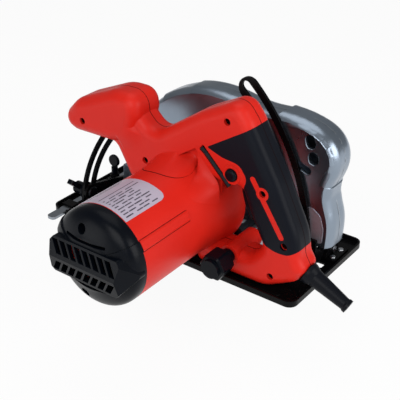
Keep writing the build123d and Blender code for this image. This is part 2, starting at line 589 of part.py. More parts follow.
STATOR_Y = (64.0, 118.0)
for i in range(6):
    rib = box(STATOR_R, case_in + 0.5, STATOR_Y[0] - 2, STATOR_Y[1] + 2, -3, 3)
    housing += motor * Rot(0, 30 + 60 * i, 0) * rib
CAP_SCREWS = ((6.0, 31.0), (8.0, -33.0))
for u, w in CAP_SCREWS:
    a = degrees(atan2(w, u))
    web = box(hypot(u, w), case_in + 1, 130, CASE_Y[1], -3.5, 3.5)
    housing += motor * Rot(0, -a, 0) * web + cyl_y(MOTOR_X + u, MOTOR_Z + w, 5, 130, CASE_Y[1])
    housing -= cyl_y(MOTOR_X + u, MOTOR_Z + w, 2.0, 140, CASE_Y[1] + 1)
BRUSH_Y = 135.0
for side in (-1, 1):
    pad = box(36, case_in + 0.6, BRUSH_Y - 7, BRUSH_Y + 7, -6.5, 6.5)
    pad -= box(30, 60, BRUSH_Y - 5, BRUSH_Y + 5, -4, 4)
    housing += motor * Rot(0, 0 if side > 0 else 180, 0) * pad
keep(housing, "motor_housing")
solid_case = spin(
    make_face(
        [
            front_round,
            flare,
            Polyline((CASE_R, 82), (CASE_R, CASE_Y[1]), (0, CASE_Y[1]), (0, CASE_Y[0]), (FLARE_R - 3.5, CASE_Y[0])),
        ]
    ),
    MOTOR_X,
    MOTOR_Z,
)

# End cap: domed moulding with a ridged cooling band across the middle
dome_out = Spline((CASE_R, 165), (41.5, 176), (27, 183), (0, CAP_END + 1), tangents=((0, 1), (-1, 0)))
dome_in = Spline((CASE_R - 3, 165), (38.5, 174), (26, 180), (0, CAP_END - 2), tangents=((0, 1), (-1, 0)))
cap_face = make_face(
    [
        dome_out,
        Line((0, CAP_END + 1), (0, CAP_END - 2)),
        dome_in,
        Line((CASE_R - 3, 165), (CASE_R - 3, CASE_Y[1])),
        Line((CASE_R - 3, CASE_Y[1]), (CASE_R, CASE_Y[1])),
        Line((CASE_R, CASE_Y[1]), (CASE_R, 165)),
    ]
)
BAND_H = 17.0


def band(grow):
    """Hexagonal band with a ridge along its middle; grow is negative for the hollow inside."""
    w = 48.0 + grow
    h = BAND_H + grow
    front = rounded([(-w, 0, 4), (-w + 13, -h, 3), (w - 13, -h, 3), (w, 0, 4), (w - 13, h, 3), (-w + 13, h, 3)])
    body = prism_y(front, CASE_Y[1] + 3 - grow, BAND_END + grow)
    top = polygon([(-w, 160), (w, 160), (w, 170 + grow), (w - 12, BAND_END + grow), (12 - w, BAND_END + grow), (-w, 170 + grow)])
    body &= Pos(0, 0, -30) * extrude(top, amount=60)
    side = polygon([(160, -h), (BAND_END - 4 + grow, -h), (BAND_END + grow, 0), (BAND_END - 6 + grow, h), (160, h)])
    return body & prism_x(side, -w, w)


dome_space = spin(
    make_face(
        [dome_in, Polyline((CASE_R - 3, 165), (CASE_R - 3, 150), (0, 150), (0, CAP_END - 2))]
    ),
    0,
    0,
)
dome_solid = spin(
    make_face([dome_out, Polyline((0, CAP_END + 1), (0, CASE_Y[1]), (CASE_R, CASE_Y[1]), (CASE_R, 165))]), 0, 0
)
belt_line = Spline(
    (CASE_R + 1.2, 165), (42.6, 176.8), (27.4, 184.0), (0, CAP_END + 2), tangents=((0, 1), (-1, 0))
)
belt_dome = spin(
    make_face([belt_line, Polyline((0, CAP_END + 2), (0, CASE_Y[1]), (CASE_R + 1.2, CASE_Y[1]), (CASE_R + 1.2, 165))]), 0, 0
)
hollow = band(-3.0)
cap = spin(cap_face, 0, 0)
for a in (152, 28):
    cap += (belt_dome & Rot(0, -a, 0) * box(20, 60, CASE_Y[1], 190, -4.75, 4.75)) - dome_space
cap = (cap - hollow) + (band(0.0) - hollow - dome_space)
slots = Sketch()
CELL = 8.4
FIN = 2.2
for i in range(8):
    x = (i - 3.5) * CELL
    for z, lean in ((9.2, 4.0), (-9.0, -3.4)):
        half = (CELL - FIN) / 2
        slots += Pos(x, z) * polygon(
            [(-lean - half, -5.6), (-lean + half, -5.6), (lean + half, 5.6), (lean - half, 5.6)]
        )
cap -= prism_y(slots, 176, BAND_END + 2)
for z in (21.5, -21.5):
    cap -= prism_y(Pos(2, z) * SlotOverall(44, 2.6), 170, 190)
for u, w in CAP_SCREWS:
    cap += cyl_y(u, w, 6.2, CASE_Y[1], 183) & dome_solid
    cap -= cyl_y(u, w, 4.4, 167, 190)
    cap -= cyl_y(u, w, 2.2, 160, 170)
cap += ring(0, 0, 11.0, 14.0, REAR_SEAT[0] - 0.5, 182)
cap += cyl_y(0, 0, 14.0, REAR_SEAT[1] + 0.2, REAR_SEAT[1] + 2.2) - cyl_y(0, 0, 5.5, 160, 175)
for a in (45, 135, 225, 315):
    cap += Rot(0, -a, 0) * box(13, CASE_R - 1.5, 163, 170, -1.2, 1.2) & dome_solid
keep(motor * cap, "end_cap")

screws = []
for u, w in CAP_SCREWS:
    head = cyl_y(MOTOR_X + u, MOTOR_Z + w, 4.0, 167, 169.6)
    screws.append(head + cyl_y(MOTOR_X + u, MOTOR_Z + w, 2.0 - RUN, 146, 167))
export_step(Compound(children=screws), "parts/cap_screws.step")

# Stator: laminated ring with two poles, and the field coils round the poles
bore = 25.5
lam = Circle(STATOR_R) - Circle(34)
for a in (90, 270):
    lam += sector(bore, 36, a - 40, a + 40)
keep(motor * prism_y(lam, *STATOR_Y), "stator_core")
coils = ring(0, 0, 26.0, 33.4, STATOR_Y[0] - 6, STATOR_Y[1] + 6)
for a in (90, 270):
    coils -= prism_y(sector(20, 40, a - 41, a + 41), STATOR_Y[0] - 0.2, STATOR_Y[1] + 0.2)
keep(motor * coils, "field_coils")

# Armature: shaft with the pinion, laminated core, windings, commutator and fan
shaft = cyl_y(0, 0, 5.0, 22.5, 37) + cyl_y(0, 0, 6.0, 37, 152) + cyl_y(0, 0, 4.0, 152, 167)
pinion_face = toothed(
    PINION_N, PINION_N * MODULE / 2 - 1.5, PINION_N * MODULE / 2 + MODULE, 0.56, 0.42, 0.2, line_a + 180 + 180 / PINION_N
)
shaft += prism_y(pinion_face, 7.5, 20.5) + cyl_y(0, 0, 4.2, 20, 23)
keep(motor * shaft, "armature_shaft")
core = Circle(24.6) - Circle(6.0)
for i in range(12):
    core -= Rot(0, 0, 30 * i) * Pos(19, 0) * SlotOverall(9, 4.5)
    core -= Rot(0, 0, 30 * i) * Pos(24, 0) * Rectangle(4, 1.6)
keep(motor * prism_y(core, STATOR_Y[0] + 1, STATOR_Y[1] - 1), "armature_core")
turns = ring(0, 0, 9, 21.5, STATOR_Y[0] - 8, STATOR_Y[0] + 1) + ring(0, 0, 9, 21.5, STATOR_Y[1] - 1, 125)
for i in range(12):
    turns += prism_y(Rot(0, 0, 30 * i) * Pos(19, 0) * SlotOverall(8.6, 4.1), STATOR_Y[0], STATOR_Y[1])
keep(motor * turns, "armature_windings")
segments = Circle(13) - Circle(6.0)
for i in range(24):
    segments -= Rot(0, 0, 15 * i) * Pos(12.6, 0) * Rectangle(2.2, 0.6)
keep(motor * prism_y(segments, 126, 145), "commutator")
FAN_Y = (41.0, 53.0)
fan = cyl_y(0, 0, 10, *FAN_Y) + cyl_y(0, 0, 39.5, FAN_Y[1] - 2, FAN_Y[1])
vane = sector(8, 39.0, -2.6, 2.6)
for i in range(11):
    fan += prism_y(Rot(0, 0, 360 / 11 * i) * vane, FAN_Y[0] + 1, FAN_Y[1] - 1)
fan -= cyl_y(0, 0, 6.0, 0, 100)
keep(motor * fan, "cooling_fan")

# Baffle that guides air through the fan, carried on the housing wall
keep(motor * ring(0, 0, 30, case_in - 0.02, FAN_Y[1] + 2, FAN_Y[1] + 4), "fan_baffle")

# Brush holders and carbon brushes, one pair each side of the commutator
holders = []
brushes = []
for turn in (0, 180):
    tube = box(16, 41, BRUSH_Y - 4.9, BRUSH_Y + 4.9, -3.9, 3.9) - box(10, 39.5, BRUSH_Y - 3.6, BRUSH_Y + 3.6, -2.9, 2.9)
    holders.append((motor * Rot(0, turn, 0) * tube).solid())
    brushes.append((motor * Rot(0, turn, 0) * box(13.1, 29, BRUSH_Y - 3.5, BRUSH_Y + 3.5, -2.8, 2.8)).solid())
export_step(Compound(children=holders), "parts/brush_holders.step")
export_step(Compound(children=brushes), "parts/carbon_brushes.step")

# Handle: two moulded halves, a front horn, a rising bridge, a rear grip and a foot
grip_line = [
    (36, 54, 8),
    (60.5, 97.5, 9),
    (80, 103.5, 20),
    (107, 104.5, 11),
    (103, 129, 11),
    (57, 150, 40),
    (37, 150, 13),
    (27.5, 134, 24),
    (14, 121, 14),
    (-38, 156.5, 90),
    (-78, 177.0, 14),
    (-91, 161, 14),
    (-120, 110, 120),
    (-143, 62, 60),
    (-144, 46, 16),
    (-151, 35, 6),
    (-142, 21, 16),
    (-112, 4.5, 34),
    (-36, 4.5, 6),
    (-26, 40, 8),
    (0, 54, 8),
]
opening = [
    (-50, 94.5, 6),
    (-84, 97.5, 7),
    (-92.5, 76, 60),
    (-107.5, 46, 9),
    (-95, 31, 12),
    (-50, 31, 6),
]
horn_line = [
    (131, 108.5, 12.5),
    (107, 134, 34),
    (58, 155, 40),
    (31, 155, 15),
    (28, 136, 20),
    (36, 108, 16),
    (62, 101, 16),
    (108, 100, 14),
]
HANDLE_Y = (MID_Y - HANDLE_T / 2, MID_Y + HANDLE_T / 2)
HORN_Y = (MID_Y - HORN_T / 2, MID_Y + HORN_T / 2)


def handle(inset):
    """The whole handle: a soft-edged slab and the thicker horn, its surface drawn in by inset."""
    outline = offset(rounded(grip_line), amount=-inset) if inset else rounded(grip_line)
    hole = offset(rounded(opening), amount=inset) if inset else rounded(opening)
    slab = prism_y(outline - hole, HANDLE_Y[0] + inset, HANDLE_Y[1] - inset)
    slab = fillet(slab.faces().filter_by(Axis.Y).edges(), max(HANDLE_ROUND - inset, 2.0))
    horn = offset(rounded(horn_line), amount=-inset) if inset else rounded(horn_line)
    bulb = prism_y(horn, HORN_Y[0] + inset, HORN_Y[1] - inset)
    return slab + fillet(bulb.faces().filter_by(Axis.Y).edges(), HORN_ROUND - inset)


outer = handle(0)
under = handle(TPE_T)
space = handle(SHELL_T)

# Regions of the handle seen from the side: the soft grip and the bare stripe on it
zone_line = [
    (-49, 128, 1),
    (-106, 164, 1),
    (-140, 150, 1),
    (-168, 62, 1),
    (-150, 57, 2),
    (-136, 48.5, 25),
    (-123, 47.5, 25),
    (-108, 52, 30),
    (-80, 76, 1),
    (-91.5, 109, 9),
    (-83.5, 120.5, 12),
    (-65, 122.5, 20),
]
zone = prism_y(rounded(zone_line), HANDLE_Y[0] - 5, HANDLE_Y[1] + 5)
STRIPE = ((-96, 113.5), (-129.5, 62))
stripe_run = Vector(STRIPE[1][0] - STRIPE[0][0], STRIPE[1][1] - STRIPE[0][1])
HANDLE_SCREWS = ((95.5, 115.5), (22, 93.5), (-70, 157), (-107.5, 100), (-131, 56), (-118.8, 20.5))
stripe_face = (
    Pos((STRIPE[0][0] + STRIPE[1][0]) / 2, (STRIPE[0][1] + STRIPE[1][1]) / 2)
    * Rot(0, 0, degrees(atan2(stripe_run.Y, stripe_run.X)))
    * SlotOverall(stripe_run.length, 5.4)
)
stripe_face += Pos(*HANDLE_SCREWS[3]) * Circle(6.2)
stripe = prism_y(stripe_face, MID_Y + 8, HANDLE_Y[1] + 5)
stripe_gap = prism_y(offset(stripe_face, amount=RUN), MID_Y + 8, HANDLE_Y[1] + 5)

# Trigger and lock-off button places
TRIGGER_X, TRIGGER_Z = -89.0, 104.0
TRIGGER_W = 14.0
TRIGGER_TURN = 9.0
BUTTON_X, BUTTON_Z = -76.0, 109.0
BUTTON_R = 6.0
trigger_room = polygon(
    [(-82, 110), (-76, 99), (-78, 58), (-92, 57), (-108, 63), (-109, 84), (-101, 96.5), (-98, 110)]
)
KEY = ((-47.5, 122.6), (-73.5, 96.8))
KEY_Y = HANDLE_Y[1] - 0.8
KEY_R = 2.9
HOOK = 5.0
key_run = Vector(KEY[1][0] - KEY[0][0], 0, KEY[1][1] - KEY[0][1])
key_plane = Plane(origin=(KEY[0][0], KEY_Y, KEY[0][1]), x_dir=(0, 1, 0), z_dir=key_run)
hook_plane = Plane(origin=(KEY[0][0], KEY_Y, KEY[0][1]), x_dir=(0, 1, 0), z_dir=(0.82, 0, 0.57))
CORD = Plane(origin=(-147, MID_Y, 29), x_dir=(0, 1, 0), z_dir=(-42, 0, -20))
left_side = box(-300, 300, MID_Y, 200, -50, 300)
right_side = box(-300, 300, -100, MID_Y, -50, 300)
pocket = prism_y(
    polygon([(14, 84), (2.6, 97), (-36, 123), (-62, 96), (-62, 84), (-20, 78)]), HANDLE_Y[1] - 6, HANDLE_Y[1] + 1
)


def handle_half(side, left):
    """One moulded half: skin, hollow, screw pillars and the seats of what it holds."""
    half = (outer - zone) + (under & zone)
    if left:
        half += outer & stripe
    half -= space
    half += prism_y(Sketch() + [Pos(x, z) * Circle(5.6) for x, z in HANDLE_SCREWS[1:]], 29, 57)
    half += cyl_y(*HANDLE_SCREWS[0], 5.6, HORN_Y[0] + 2.5, HORN_Y[1] - 2.5)
    half += cyl_y(TRIGGER_X, TRIGGER_Z, 5.0, 31.5, 54.5)
    half += cyl_y(KNOB_X, KNOB_Z, 9.5, 20, HANDLE_Y[1] + 1)
    half -= prism_y(trigger_room, MID_Y - TRIGGER_W / 2 - 0.5, MID_Y + TRIGGER_W / 2 + 0.5)
    half -= cyl_y(TRIGGER_X, TRIGGER_Z, 2.5 + RUN, 33, 53)
    half -= cyl_y(KNOB_X, KNOB_Z, 4.4, 0, 100)
    half -= CORD * (Pos(0, 0, -4) * Cylinder(7.2, 10) + Pos(0, 0, -9) * Cylinder(9.2, 4.4))
    half -= solid_case
    if left:
        half -= pocket
        half += ring(BUTTON_X, BUTTON_Z, BUTTON_R, 9.0, HANDLE_Y[1] - SHELL_T, HANDLE_Y[1] + 0.8)
        half -= cyl_y(BUTTON_X, BUTTON_Z, BUTTON_R + SLIDE, 40, 80)
        half -= key_plane * (Pos(0, 0, key_run.length / 2) * Cylinder(KEY_R, key_run.length + 12))
        half -= hook_plane * (Pos(0, 0, HOOK / 2) * Cylinder(KEY_R, HOOK + 2))
        for x, z in HANDLE_SCREWS:
            half -= cyl_y(x, z, 3.3, 49, 80) + cyl_y(x, z, 2.2, 40, 50)
    else:
        for x, z in HANDLE_SCREWS:
            half -= cyl_y(x, z, 1.8, 32, 50)
    half = half & side
    return max(half.solids(), key=lambda piece: piece.volume)


keep(handle_half(left_side, True), "handle_left")
keep(handle_half(right_side, False), "handle_right")
screws = []
for x, z in HANDLE_SCREWS:
    screws.append(cyl_y(x, z, 3.1, 49, 51.5) + cyl_y(x, z, 1.8 - RUN, 34, 49))
export_step(Compound(children=screws), "parts/handle_screws.step")

# Soft grip skins moulded over each handle half
skin = (outer & zone) - under - cyl_y(TRIGGER_X, TRIGGER_Z, 5.0 + RUN, 31, 55)
skin -= prism_y(trigger_room, MID_Y - TRIGGER_W / 2 - 0.5, MID_Y + TRIGGER_W / 2 + 0.5)
left_skin = (skin & left_side) - stripe_gap
for x, z in HANDLE_SCREWS:
    left_skin -= cyl_y(x, z, 3.6, 45, 80)
left_skin -= cyl_y(BUTTON_X, BUTTON_Z, 9.3, 50, 80)
keep(left_skin, "grip_left")
keep(skin & right_side, "grip_right")

# Trigger: finger lever on two stub pins inside the handle
trigger_face = rounded(
    [
        (-84.5, 105, 3),
        (-79.5, 92, 8),
        (-84, 76, 30),
        (-90.5, 64, 3),
        (-97, 67, 3),
        (-99, 80, 6),
        (-95.5, 94, 8),
        (-93.5, 105, 3),
    ]
)
trigger = prism_y(trigger_face, MID_Y - TRIGGER_W / 2, MID_Y + TRIGGER_W / 2)
trigger = fillet(trigger.edges().filter_by(lambda e: abs(e.bounding_box().size.Y) < 0.01), 2.0)
trigger += cyl_y(TRIGGER_X, TRIGGER_Z, 2.5, 33.5, 52.5)
keep(trigger, "trigger")

# Switch block between two screw pillars of the grip, with its plunger towards the trigger
block = Pos(-117.5, MID_Y, 77.5) * Rot(0, 26, 0) * Box(15, 22.6, 31)
block = fillet(block.edges().filter_by(Axis.Y), 1.5)
block += Pos(-109.5, MID_Y, 76) * Rot(0, 26, 0) * Box(6, 7, 7)
keep(block, "switch_block")

# Lock-off button: domed cap with a shoulder that keeps it behind the wall
button = cyl_y(BUTTON_X, BUTTON_Z, BUTTON_R, 50, 63.5)
button = fillet(button.edges().group_by(Axis.Y)[-1], 2.6)
button += cyl_y(BUTTON_X, BUTTON_Z, 7.0, 50, 52)
keep(button, "lock_button")

# Hex key clipped into its groove beside the button
key = extrude(key_plane * RegularPolygon(2.7, 6), amount=key_run.length)
key += extrude(hook_plane * RegularPolygon(2.7, 6), amount=HOOK)
key += Pos(KEY[0][0], KEY_Y, KEY[0][1]) * Sphere(2.5)
keep(key, "hex_key")

# Cord boot: rubber sleeve with a collar held between the halves
boot_line = [
    (3.6, -11),
    (9.0, -11),
    (9.0, -7.1),
    (7.0, -7.1),
    (7.0, 1.0),
    (10.4, 1.0),
    (10.0, 4.0),
    (8.3, 9.0),
    (7.4, 20.0),
    (5.7, 43.0),
    (6.5, 44.5),
    (6.5, 47.0),
    (3.6, 47.0),
]
boot = revolve(Plane.XZ * polygon(boot_line), axis=Axis.Z)
keep(CORD * boot, "cord_boot")

# Depth clamp: toe plate pressed on the depth bar by the long bolt of the clamp knob
toe_x, toe_z = polar(DEPTH_X, DEPTH_Z, BAR_R, CLAMP_A)
toe = make_hull((Pos(KNOB_X, KNOB_Z) * Circle(9)).edges() + (Pos(toe_x, toe_z) * Circle(10)).edges())
clamp_plate = prism_y(toe, BAR_FACE + RUN, BAR_FACE + 3)
clamp_plate += cyl_y(toe_x, toe_z, BAR_SLOT / 2 - AIR, BAR_Y + 0.2, BAR_FACE + 1)
clamp_plate -= cyl_y(KNOB_X, KNOB_Z, 4.2, -20, 20)
keep(clamp_plate, "clamp_plate")

knob = cyl_y(KNOB_X, KNOB_Z, 4.0 - RUN, -12.5, 66)
knob += cyl_y(KNOB_X, KNOB_Z, 7.4, BAR_FACE + 3 + RUN, BAR_FACE + 5)
knob += cyl_y(KNOB_X, KNOB_Z, 7.0, HANDLE_Y[1] + 1 + AIR, 71)
head = prism_y(Pos(KNOB_X, KNOB_Z) * fillet(RegularPolygon(13.5, 6).vertices(), 3), 69, 88)
knob += chamfer(head.edges().group_by(Axis.Y)[0] + head.edges().group_by(Axis.Y)[-1], 1.6)
knob += cyl_y(KNOB_X, KNOB_Z, 9.0, 88, 91)
keep(knob, "depth_knob")

# Spring round the clamp bolt that lifts the toe plate when the knob is slackened
spring_path = Helix(pitch=3.4, height=17.0, radius=5.6)
spring = sweep(Plane(spring_path @ 0, z_dir=spring_path % 0) * Circle(0.75), path=spring_path, is_frenet=True)
keep(Pos(KNOB_X, 18.6, KNOB_Z) * Rot(90, 0, 0) * spring, "clamp_spring")
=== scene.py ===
import math

import bpy
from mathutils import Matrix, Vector
from mathutils.geometry import interpolate_bezier


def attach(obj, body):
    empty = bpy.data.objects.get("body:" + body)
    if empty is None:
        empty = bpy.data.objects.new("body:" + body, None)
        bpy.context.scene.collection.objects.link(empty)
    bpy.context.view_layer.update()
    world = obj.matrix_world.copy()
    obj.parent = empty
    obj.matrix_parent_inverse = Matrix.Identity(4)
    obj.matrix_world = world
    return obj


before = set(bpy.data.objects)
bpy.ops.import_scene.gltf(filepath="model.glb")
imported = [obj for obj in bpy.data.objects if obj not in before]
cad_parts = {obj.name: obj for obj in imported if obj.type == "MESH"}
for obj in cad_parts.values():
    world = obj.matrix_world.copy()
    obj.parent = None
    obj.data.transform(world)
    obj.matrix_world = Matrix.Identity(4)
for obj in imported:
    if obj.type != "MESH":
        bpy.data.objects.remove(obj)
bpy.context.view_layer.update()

# Studio: a white paper sweep under large soft lamps, seen from behind and above on the motor side.
# The floor lies just under the lower guard, the lowest piece of the saw.
FLOOR_Z = -0.0685
FLOOR_HALF = 40.0
# Share of plain white that the camera and mirrors see on the sweep; the rest is lit paper with the shadow
FLOOR_GLOW = 0.93
# Light that the room sheds on the saw, and how bright the room itself looks
ROOM_FILL = 0.24
ROOM_WHITE = 1.0
WHITE = (1, 1, 1, 1)
CAMERA_AT = (-0.4457, 0.6005, 0.4526)
CAMERA_TARGET = (-0.07079, 0.09852, 0.100)
CAMERA_LENS = 77.12
CAMERA_SENSOR = 36.0
CAMERA_NEAR = 0.01
LAMP_TARGET = (-0.03, 0.04, 0.06)
# Name, place, size in metres and power in watts of each soft lamp
LAMPS = (
    ("key lamp", (-0.45, 1.15, 0.8), 0.9, 8.5),
    ("side lamp", (-1.25, -0.05, 0.5), 0.8, 8.0),
    ("top lamp", (0.1, -0.1, 1.3), 1.0, 4.0),
    ("low lamp", (0.5, 1.2, 0.15), 0.7, 3.0),
)
# Corners of a square as signs, in order round it
SQUARE = ((-1, -1), (1, -1), (1, 1), (-1, 1))


def hex_linear(code):
    """An sRGB hex colour as linear RGBA."""
    levels = [int(code[i:i + 2], 16) / 255 for i in (1, 3, 5)]
    return tuple(v / 12.92 if v <= 0.04045 else ((v + 0.055) / 1.055) ** 2.4 for v in levels) + (1.0,)


def put(tree, kind, inputs=None, **settings):
    """Adds a shader node; inputs maps sockets to plain values or to other nodes' outputs."""
    made = tree.nodes.new(kind)
    for name, value in settings.items():
        setattr(made, name, value)
    for socket, value in (inputs or {}).items():
        if isinstance(value, bpy.types.NodeSocket):
            tree.links.new(value, made.inputs[socket])
        else:
            made.inputs[socket].default_value = value
    return made


def blank(name):
    """A new material with an empty node tree and its output node."""
    material = bpy.data.materials.new(name)
    material.use_nodes = True
    material.node_tree.nodes.clear()
    return material, material.node_tree, put(material.node_tree, "ShaderNodeOutputMaterial")


def stand_at(name, data, place, target):
    """A lamp or camera at a place, turned towards a target."""
    stand = bpy.data.objects.new(name, data)
    stand.location = place
    stand.rotation_euler = (Vector(target) - Vector(place)).to_track_quat("-Z", "Y").to_euler()
    bpy.context.scene.collection.objects.link(stand)
    return stand


scene = bpy.context.scene
scene.view_settings.view_transform = "Standard"

sweep, tree, out = blank("white paper sweep")
paper = put(tree, "ShaderNodeBsdfDiffuse", {"Color": hex_linear("#F1F1F0"), "Roughness": 0.4})
path = put(tree, "ShaderNodeLightPath").outputs
rays = {0: path["Is Camera Ray"], 1: path["Is Glossy Ray"]}
seen = put(tree, "ShaderNodeMath", rays, operation="MAXIMUM")
rays = {0: seen.outputs[0], 1: path["Is Transmission Ray"]}
seen = put(tree, "ShaderNodeMath", rays, operation="MAXIMUM")
share = put(tree, "ShaderNodeMath", {0: seen.outputs[0], 1: FLOOR_GLOW}, operation="MULTIPLY")
glow = put(tree, "ShaderNodeEmission", {"Color": WHITE, "Strength": 1.0})
both = put(tree, "ShaderNodeMixShader", {0: share.outputs[0], 1: paper.outputs[0], 2: glow.outputs[0]})
tree.links.new(both.outputs[0], out.inputs["Surface"])
floor_mesh = bpy.data.meshes.new("floor")
floor_mesh.from_pydata([(s * FLOOR_HALF, t * FLOOR_HALF, FLOOR_Z) for s, t in SQUARE], [], [(0, 1, 2, 3)])
floor_mesh.materials.append(sweep)
floor = bpy.data.objects.new("floor", floor_mesh)
scene.collection.objects.link(floor)

world = bpy.data.worlds.new("studio")
scene.world = world
world.use_nodes = True
tree = world.node_tree
tree.nodes.clear()
path = put(tree, "ShaderNodeLightPath").outputs
rays = {0: path["Is Camera Ray"], 1: path["Is Transmission Ray"]}
seen = put(tree, "ShaderNodeMath", rays, operation="MAXIMUM")
fill = {"Value": seen.outputs[0], "To Min": ROOM_FILL, "To Max": ROOM_WHITE}
level = put(tree, "ShaderNodeMapRange", fill)
sky = put(tree, "ShaderNodeBackground", {"Color": WHITE, "Strength": level.outputs[0]})
put(tree, "ShaderNodeOutputWorld", {"Surface": sky.outputs[0]})

for name, place, size, power in LAMPS:
    lamp = bpy.data.lights.new(name, "AREA")
    lamp.shape = "SQUARE"
    lamp.size = size
    lamp.energy = power
    stand_at(name, lamp, place, LAMP_TARGET)

camera = bpy.data.cameras.new("camera")
camera.lens = CAMERA_LENS
camera.sensor_width = CAMERA_SENSOR
camera.clip_start = CAMERA_NEAR
scene.camera = stand_at("camera", camera, CAMERA_AT, CAMERA_TARGET)

# Motor housing and handle halves: glass-filled nylon, injection moulded in a spark-eroded tool.
# The tool leaves an even fine grain; colour and gloss drift slightly with the flow of the melt.
MM_PER_M = 1000
EDGE_MM = 0.5
EDGE_SAMPLES = 4
FLOW_MM = 40.0
FLOW_SHARE = 0.75
GLOSS_DRIFT = (-0.05, 0.06)
GRAIN_STRENGTH = 0.35
POLYMER_IOR = 1.53


def moulded(name, light, dark, grain_mm, grain_depth, gloss, rough):
    """Moulded polymer: two close tones, fine tool grain in millimetres and softened edges."""
    material, tree, out = blank(name)
    place = put(tree, "ShaderNodeTexCoord").outputs["Object"]
    flow = put(tree, "ShaderNodeTexNoise", {"Vector": place, "Scale": MM_PER_M / FLOW_MM, "Detail": 3.0})
    speck = put(tree, "ShaderNodeTexNoise", {"Vector": place, "Scale": MM_PER_M / grain_mm, "Detail": 2.0})
    tone = put(tree, "ShaderNodeMath", {0: flow.outputs[0], 1: FLOW_SHARE}, operation="MULTIPLY")
    tone = put(
        tree,
        "ShaderNodeMath",
        {0: speck.outputs[0], 1: 1 - FLOW_SHARE, 2: tone.outputs[0]},
        operation="MULTIPLY_ADD",
    )
    tones = {0: tone.outputs[0], 6: hex_linear(dark), 7: hex_linear(light)}
    colour = put(tree, "ShaderNodeMix", tones, data_type="RGBA")
    edge = put(tree, "ShaderNodeBevel", {"Radius": EDGE_MM / MM_PER_M}, samples=EDGE_SAMPLES)
    grain = put(
        tree,
        "ShaderNodeBump",
        {
            "Height": speck.outputs[0],
            "Strength": GRAIN_STRENGTH,
            "Distance": grain_depth / MM_PER_M,
            "Normal": edge.outputs[0],
        },
    )
    drift = {"Value": flow.outputs[0], "To Min": rough + GLOSS_DRIFT[0], "To Max": rough + GLOSS_DRIFT[1]}
    shine = put(tree, "ShaderNodeMapRange", drift)
    surface = put(
        tree,
        "ShaderNodeBsdfPrincipled",
        {
            "Base Color": colour.outputs[2],
            "Roughness": shine.outputs[0],
            "IOR": POLYMER_IOR,
            "Specular IOR Level": gloss,
            "Normal": grain.outputs[0],
        },
    )
    tree.links.new(surface.outputs[0], out.inputs["Surface"])
    return material


def dress(material, *names):
    """Gives CAD nodes their finish."""
    for name in names:
        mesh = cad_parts[name].data
        mesh.materials.clear()
        mesh.materials.append(material)


red_nylon = moulded(
    "red glass-filled nylon", "#E02618", "#CE1C11", grain_mm=0.55, grain_depth=0.06, gloss=0.2, rough=0.42
)
dress(red_nylon, "motor_housing", "handle_left", "handle_right")

# Parting line of the two handle halves: a fine dark joint round the outline and the finger opening.
# The halves meet edge to edge there, so only the shadow of the joint is seen.
MID_Y = 43.0
# Corners of the handle, its front horn and its finger opening, as x, z and radius
GRIP_LINE = (
    (36, 54, 8), (60.5, 97.5, 9), (80, 103.5, 20), (107, 104.5, 11), (103, 129, 11), (57, 150, 40),
    (37, 150, 13), (27.5, 134, 24), (14, 121, 14), (-38, 156.5, 90), (-78, 177, 14), (-91, 161, 14),
    (-120, 110, 120), (-143, 62, 60), (-144, 46, 16), (-151, 35, 6), (-142, 21, 16), (-112, 4.5, 34),
    (-36, 4.5, 6), (-26, 40, 8), (0, 54, 8),
)
HORN_LINE = (
    (131, 108.5, 12.5), (107, 134, 34), (58, 155, 40), (31, 155, 15), (28, 136, 20), (36, 108, 16),
    (62, 101, 16), (108, 100, 14),
)
OPENING = (
    (-50, 94.5, 6), (-84, 97.5, 7), (-92.5, 76, 60), (-107.5, 46, 9), (-95, 31, 12), (-50, 31, 6),
)
JOINT_W = 0.7
JOINT_PROUD = 0.06
# Name and outline of each joint, and the side on which it shows: 1 outside the outline, -1 inside
JOINTS = (("handle_joint", GRIP_LINE, 1), ("horn_joint", HORN_LINE, 1), ("opening_joint", OPENING, -1))


def rounded_outline(corners, steps=8):
    """Closed X-Z outline of straight runs and tangent arcs; corners are (x, z, radius)."""
    points = []
    for i, (u, v, r) in enumerate(corners):
        here = Vector((u, v))
        before = (Vector(corners[i - 1][:2]) - here).normalized()
        after = (Vector(corners[(i + 1) % len(corners)][:2]) - here).normalized()
        half = before.angle(after) / 2
        centre = here + (before + after).normalized() * (r / math.sin(half))
        start = here + before * (r / math.tan(half)) - centre
        end = here + after * (r / math.tan(half)) - centre
        for k in range(steps + 1):
            share = k / steps
            points.append(centre + (start * (1 - share) + end * share).normalized() * r)
    return points


def shift_outline(points, amount, closed=True):
    """The outline moved to its left by amount."""
    moved = []
    n = len(points)
    for i, p in enumerate(points):
        a = points[i - 1] if closed or i else p
        b = points[(i + 1) % n] if closed or i < n - 1 else p
        run = (b - a).normalized()
        moved.append(p + Vector((-run.y, run.x)) * amount)
    return moved


def grow_outline(points, amount):
    """The closed outline moved outwards by amount, whichever way round it runs."""
    area = sum(a.x * b.y - b.x * a.y for a, b in zip(points, points[1:] + points[:1]))
    return shift_outline(points, -amount if area > 0 else amount)


def band(rows, row, first=0, closed=False):
    """Quads between rows of row points each, from index first on; a closed row joins up with itself."""
    quads = []
    for i in range(rows - 1):
        for k in range(row if closed else row - 1):
            here = first + i * row + k
            after = first + i * row + (k + 1) % row
            quads.append((here, after, after + row, here + row))
    return quads


def mesh_piece(name, points, faces, material, body):
    """A mesh from points in millimetres, riding on a body of the saw."""
    mesh = bpy.data.meshes.new(name)
    mesh.from_pydata([Vector(p) / MM_PER_M for p in points], [], faces)
    mesh.update()
    piece = bpy.data.objects.new(name, mesh)
    bpy.context.scene.collection.objects.link(piece)
    mesh.materials.append(material)
    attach(piece, body)
    return piece


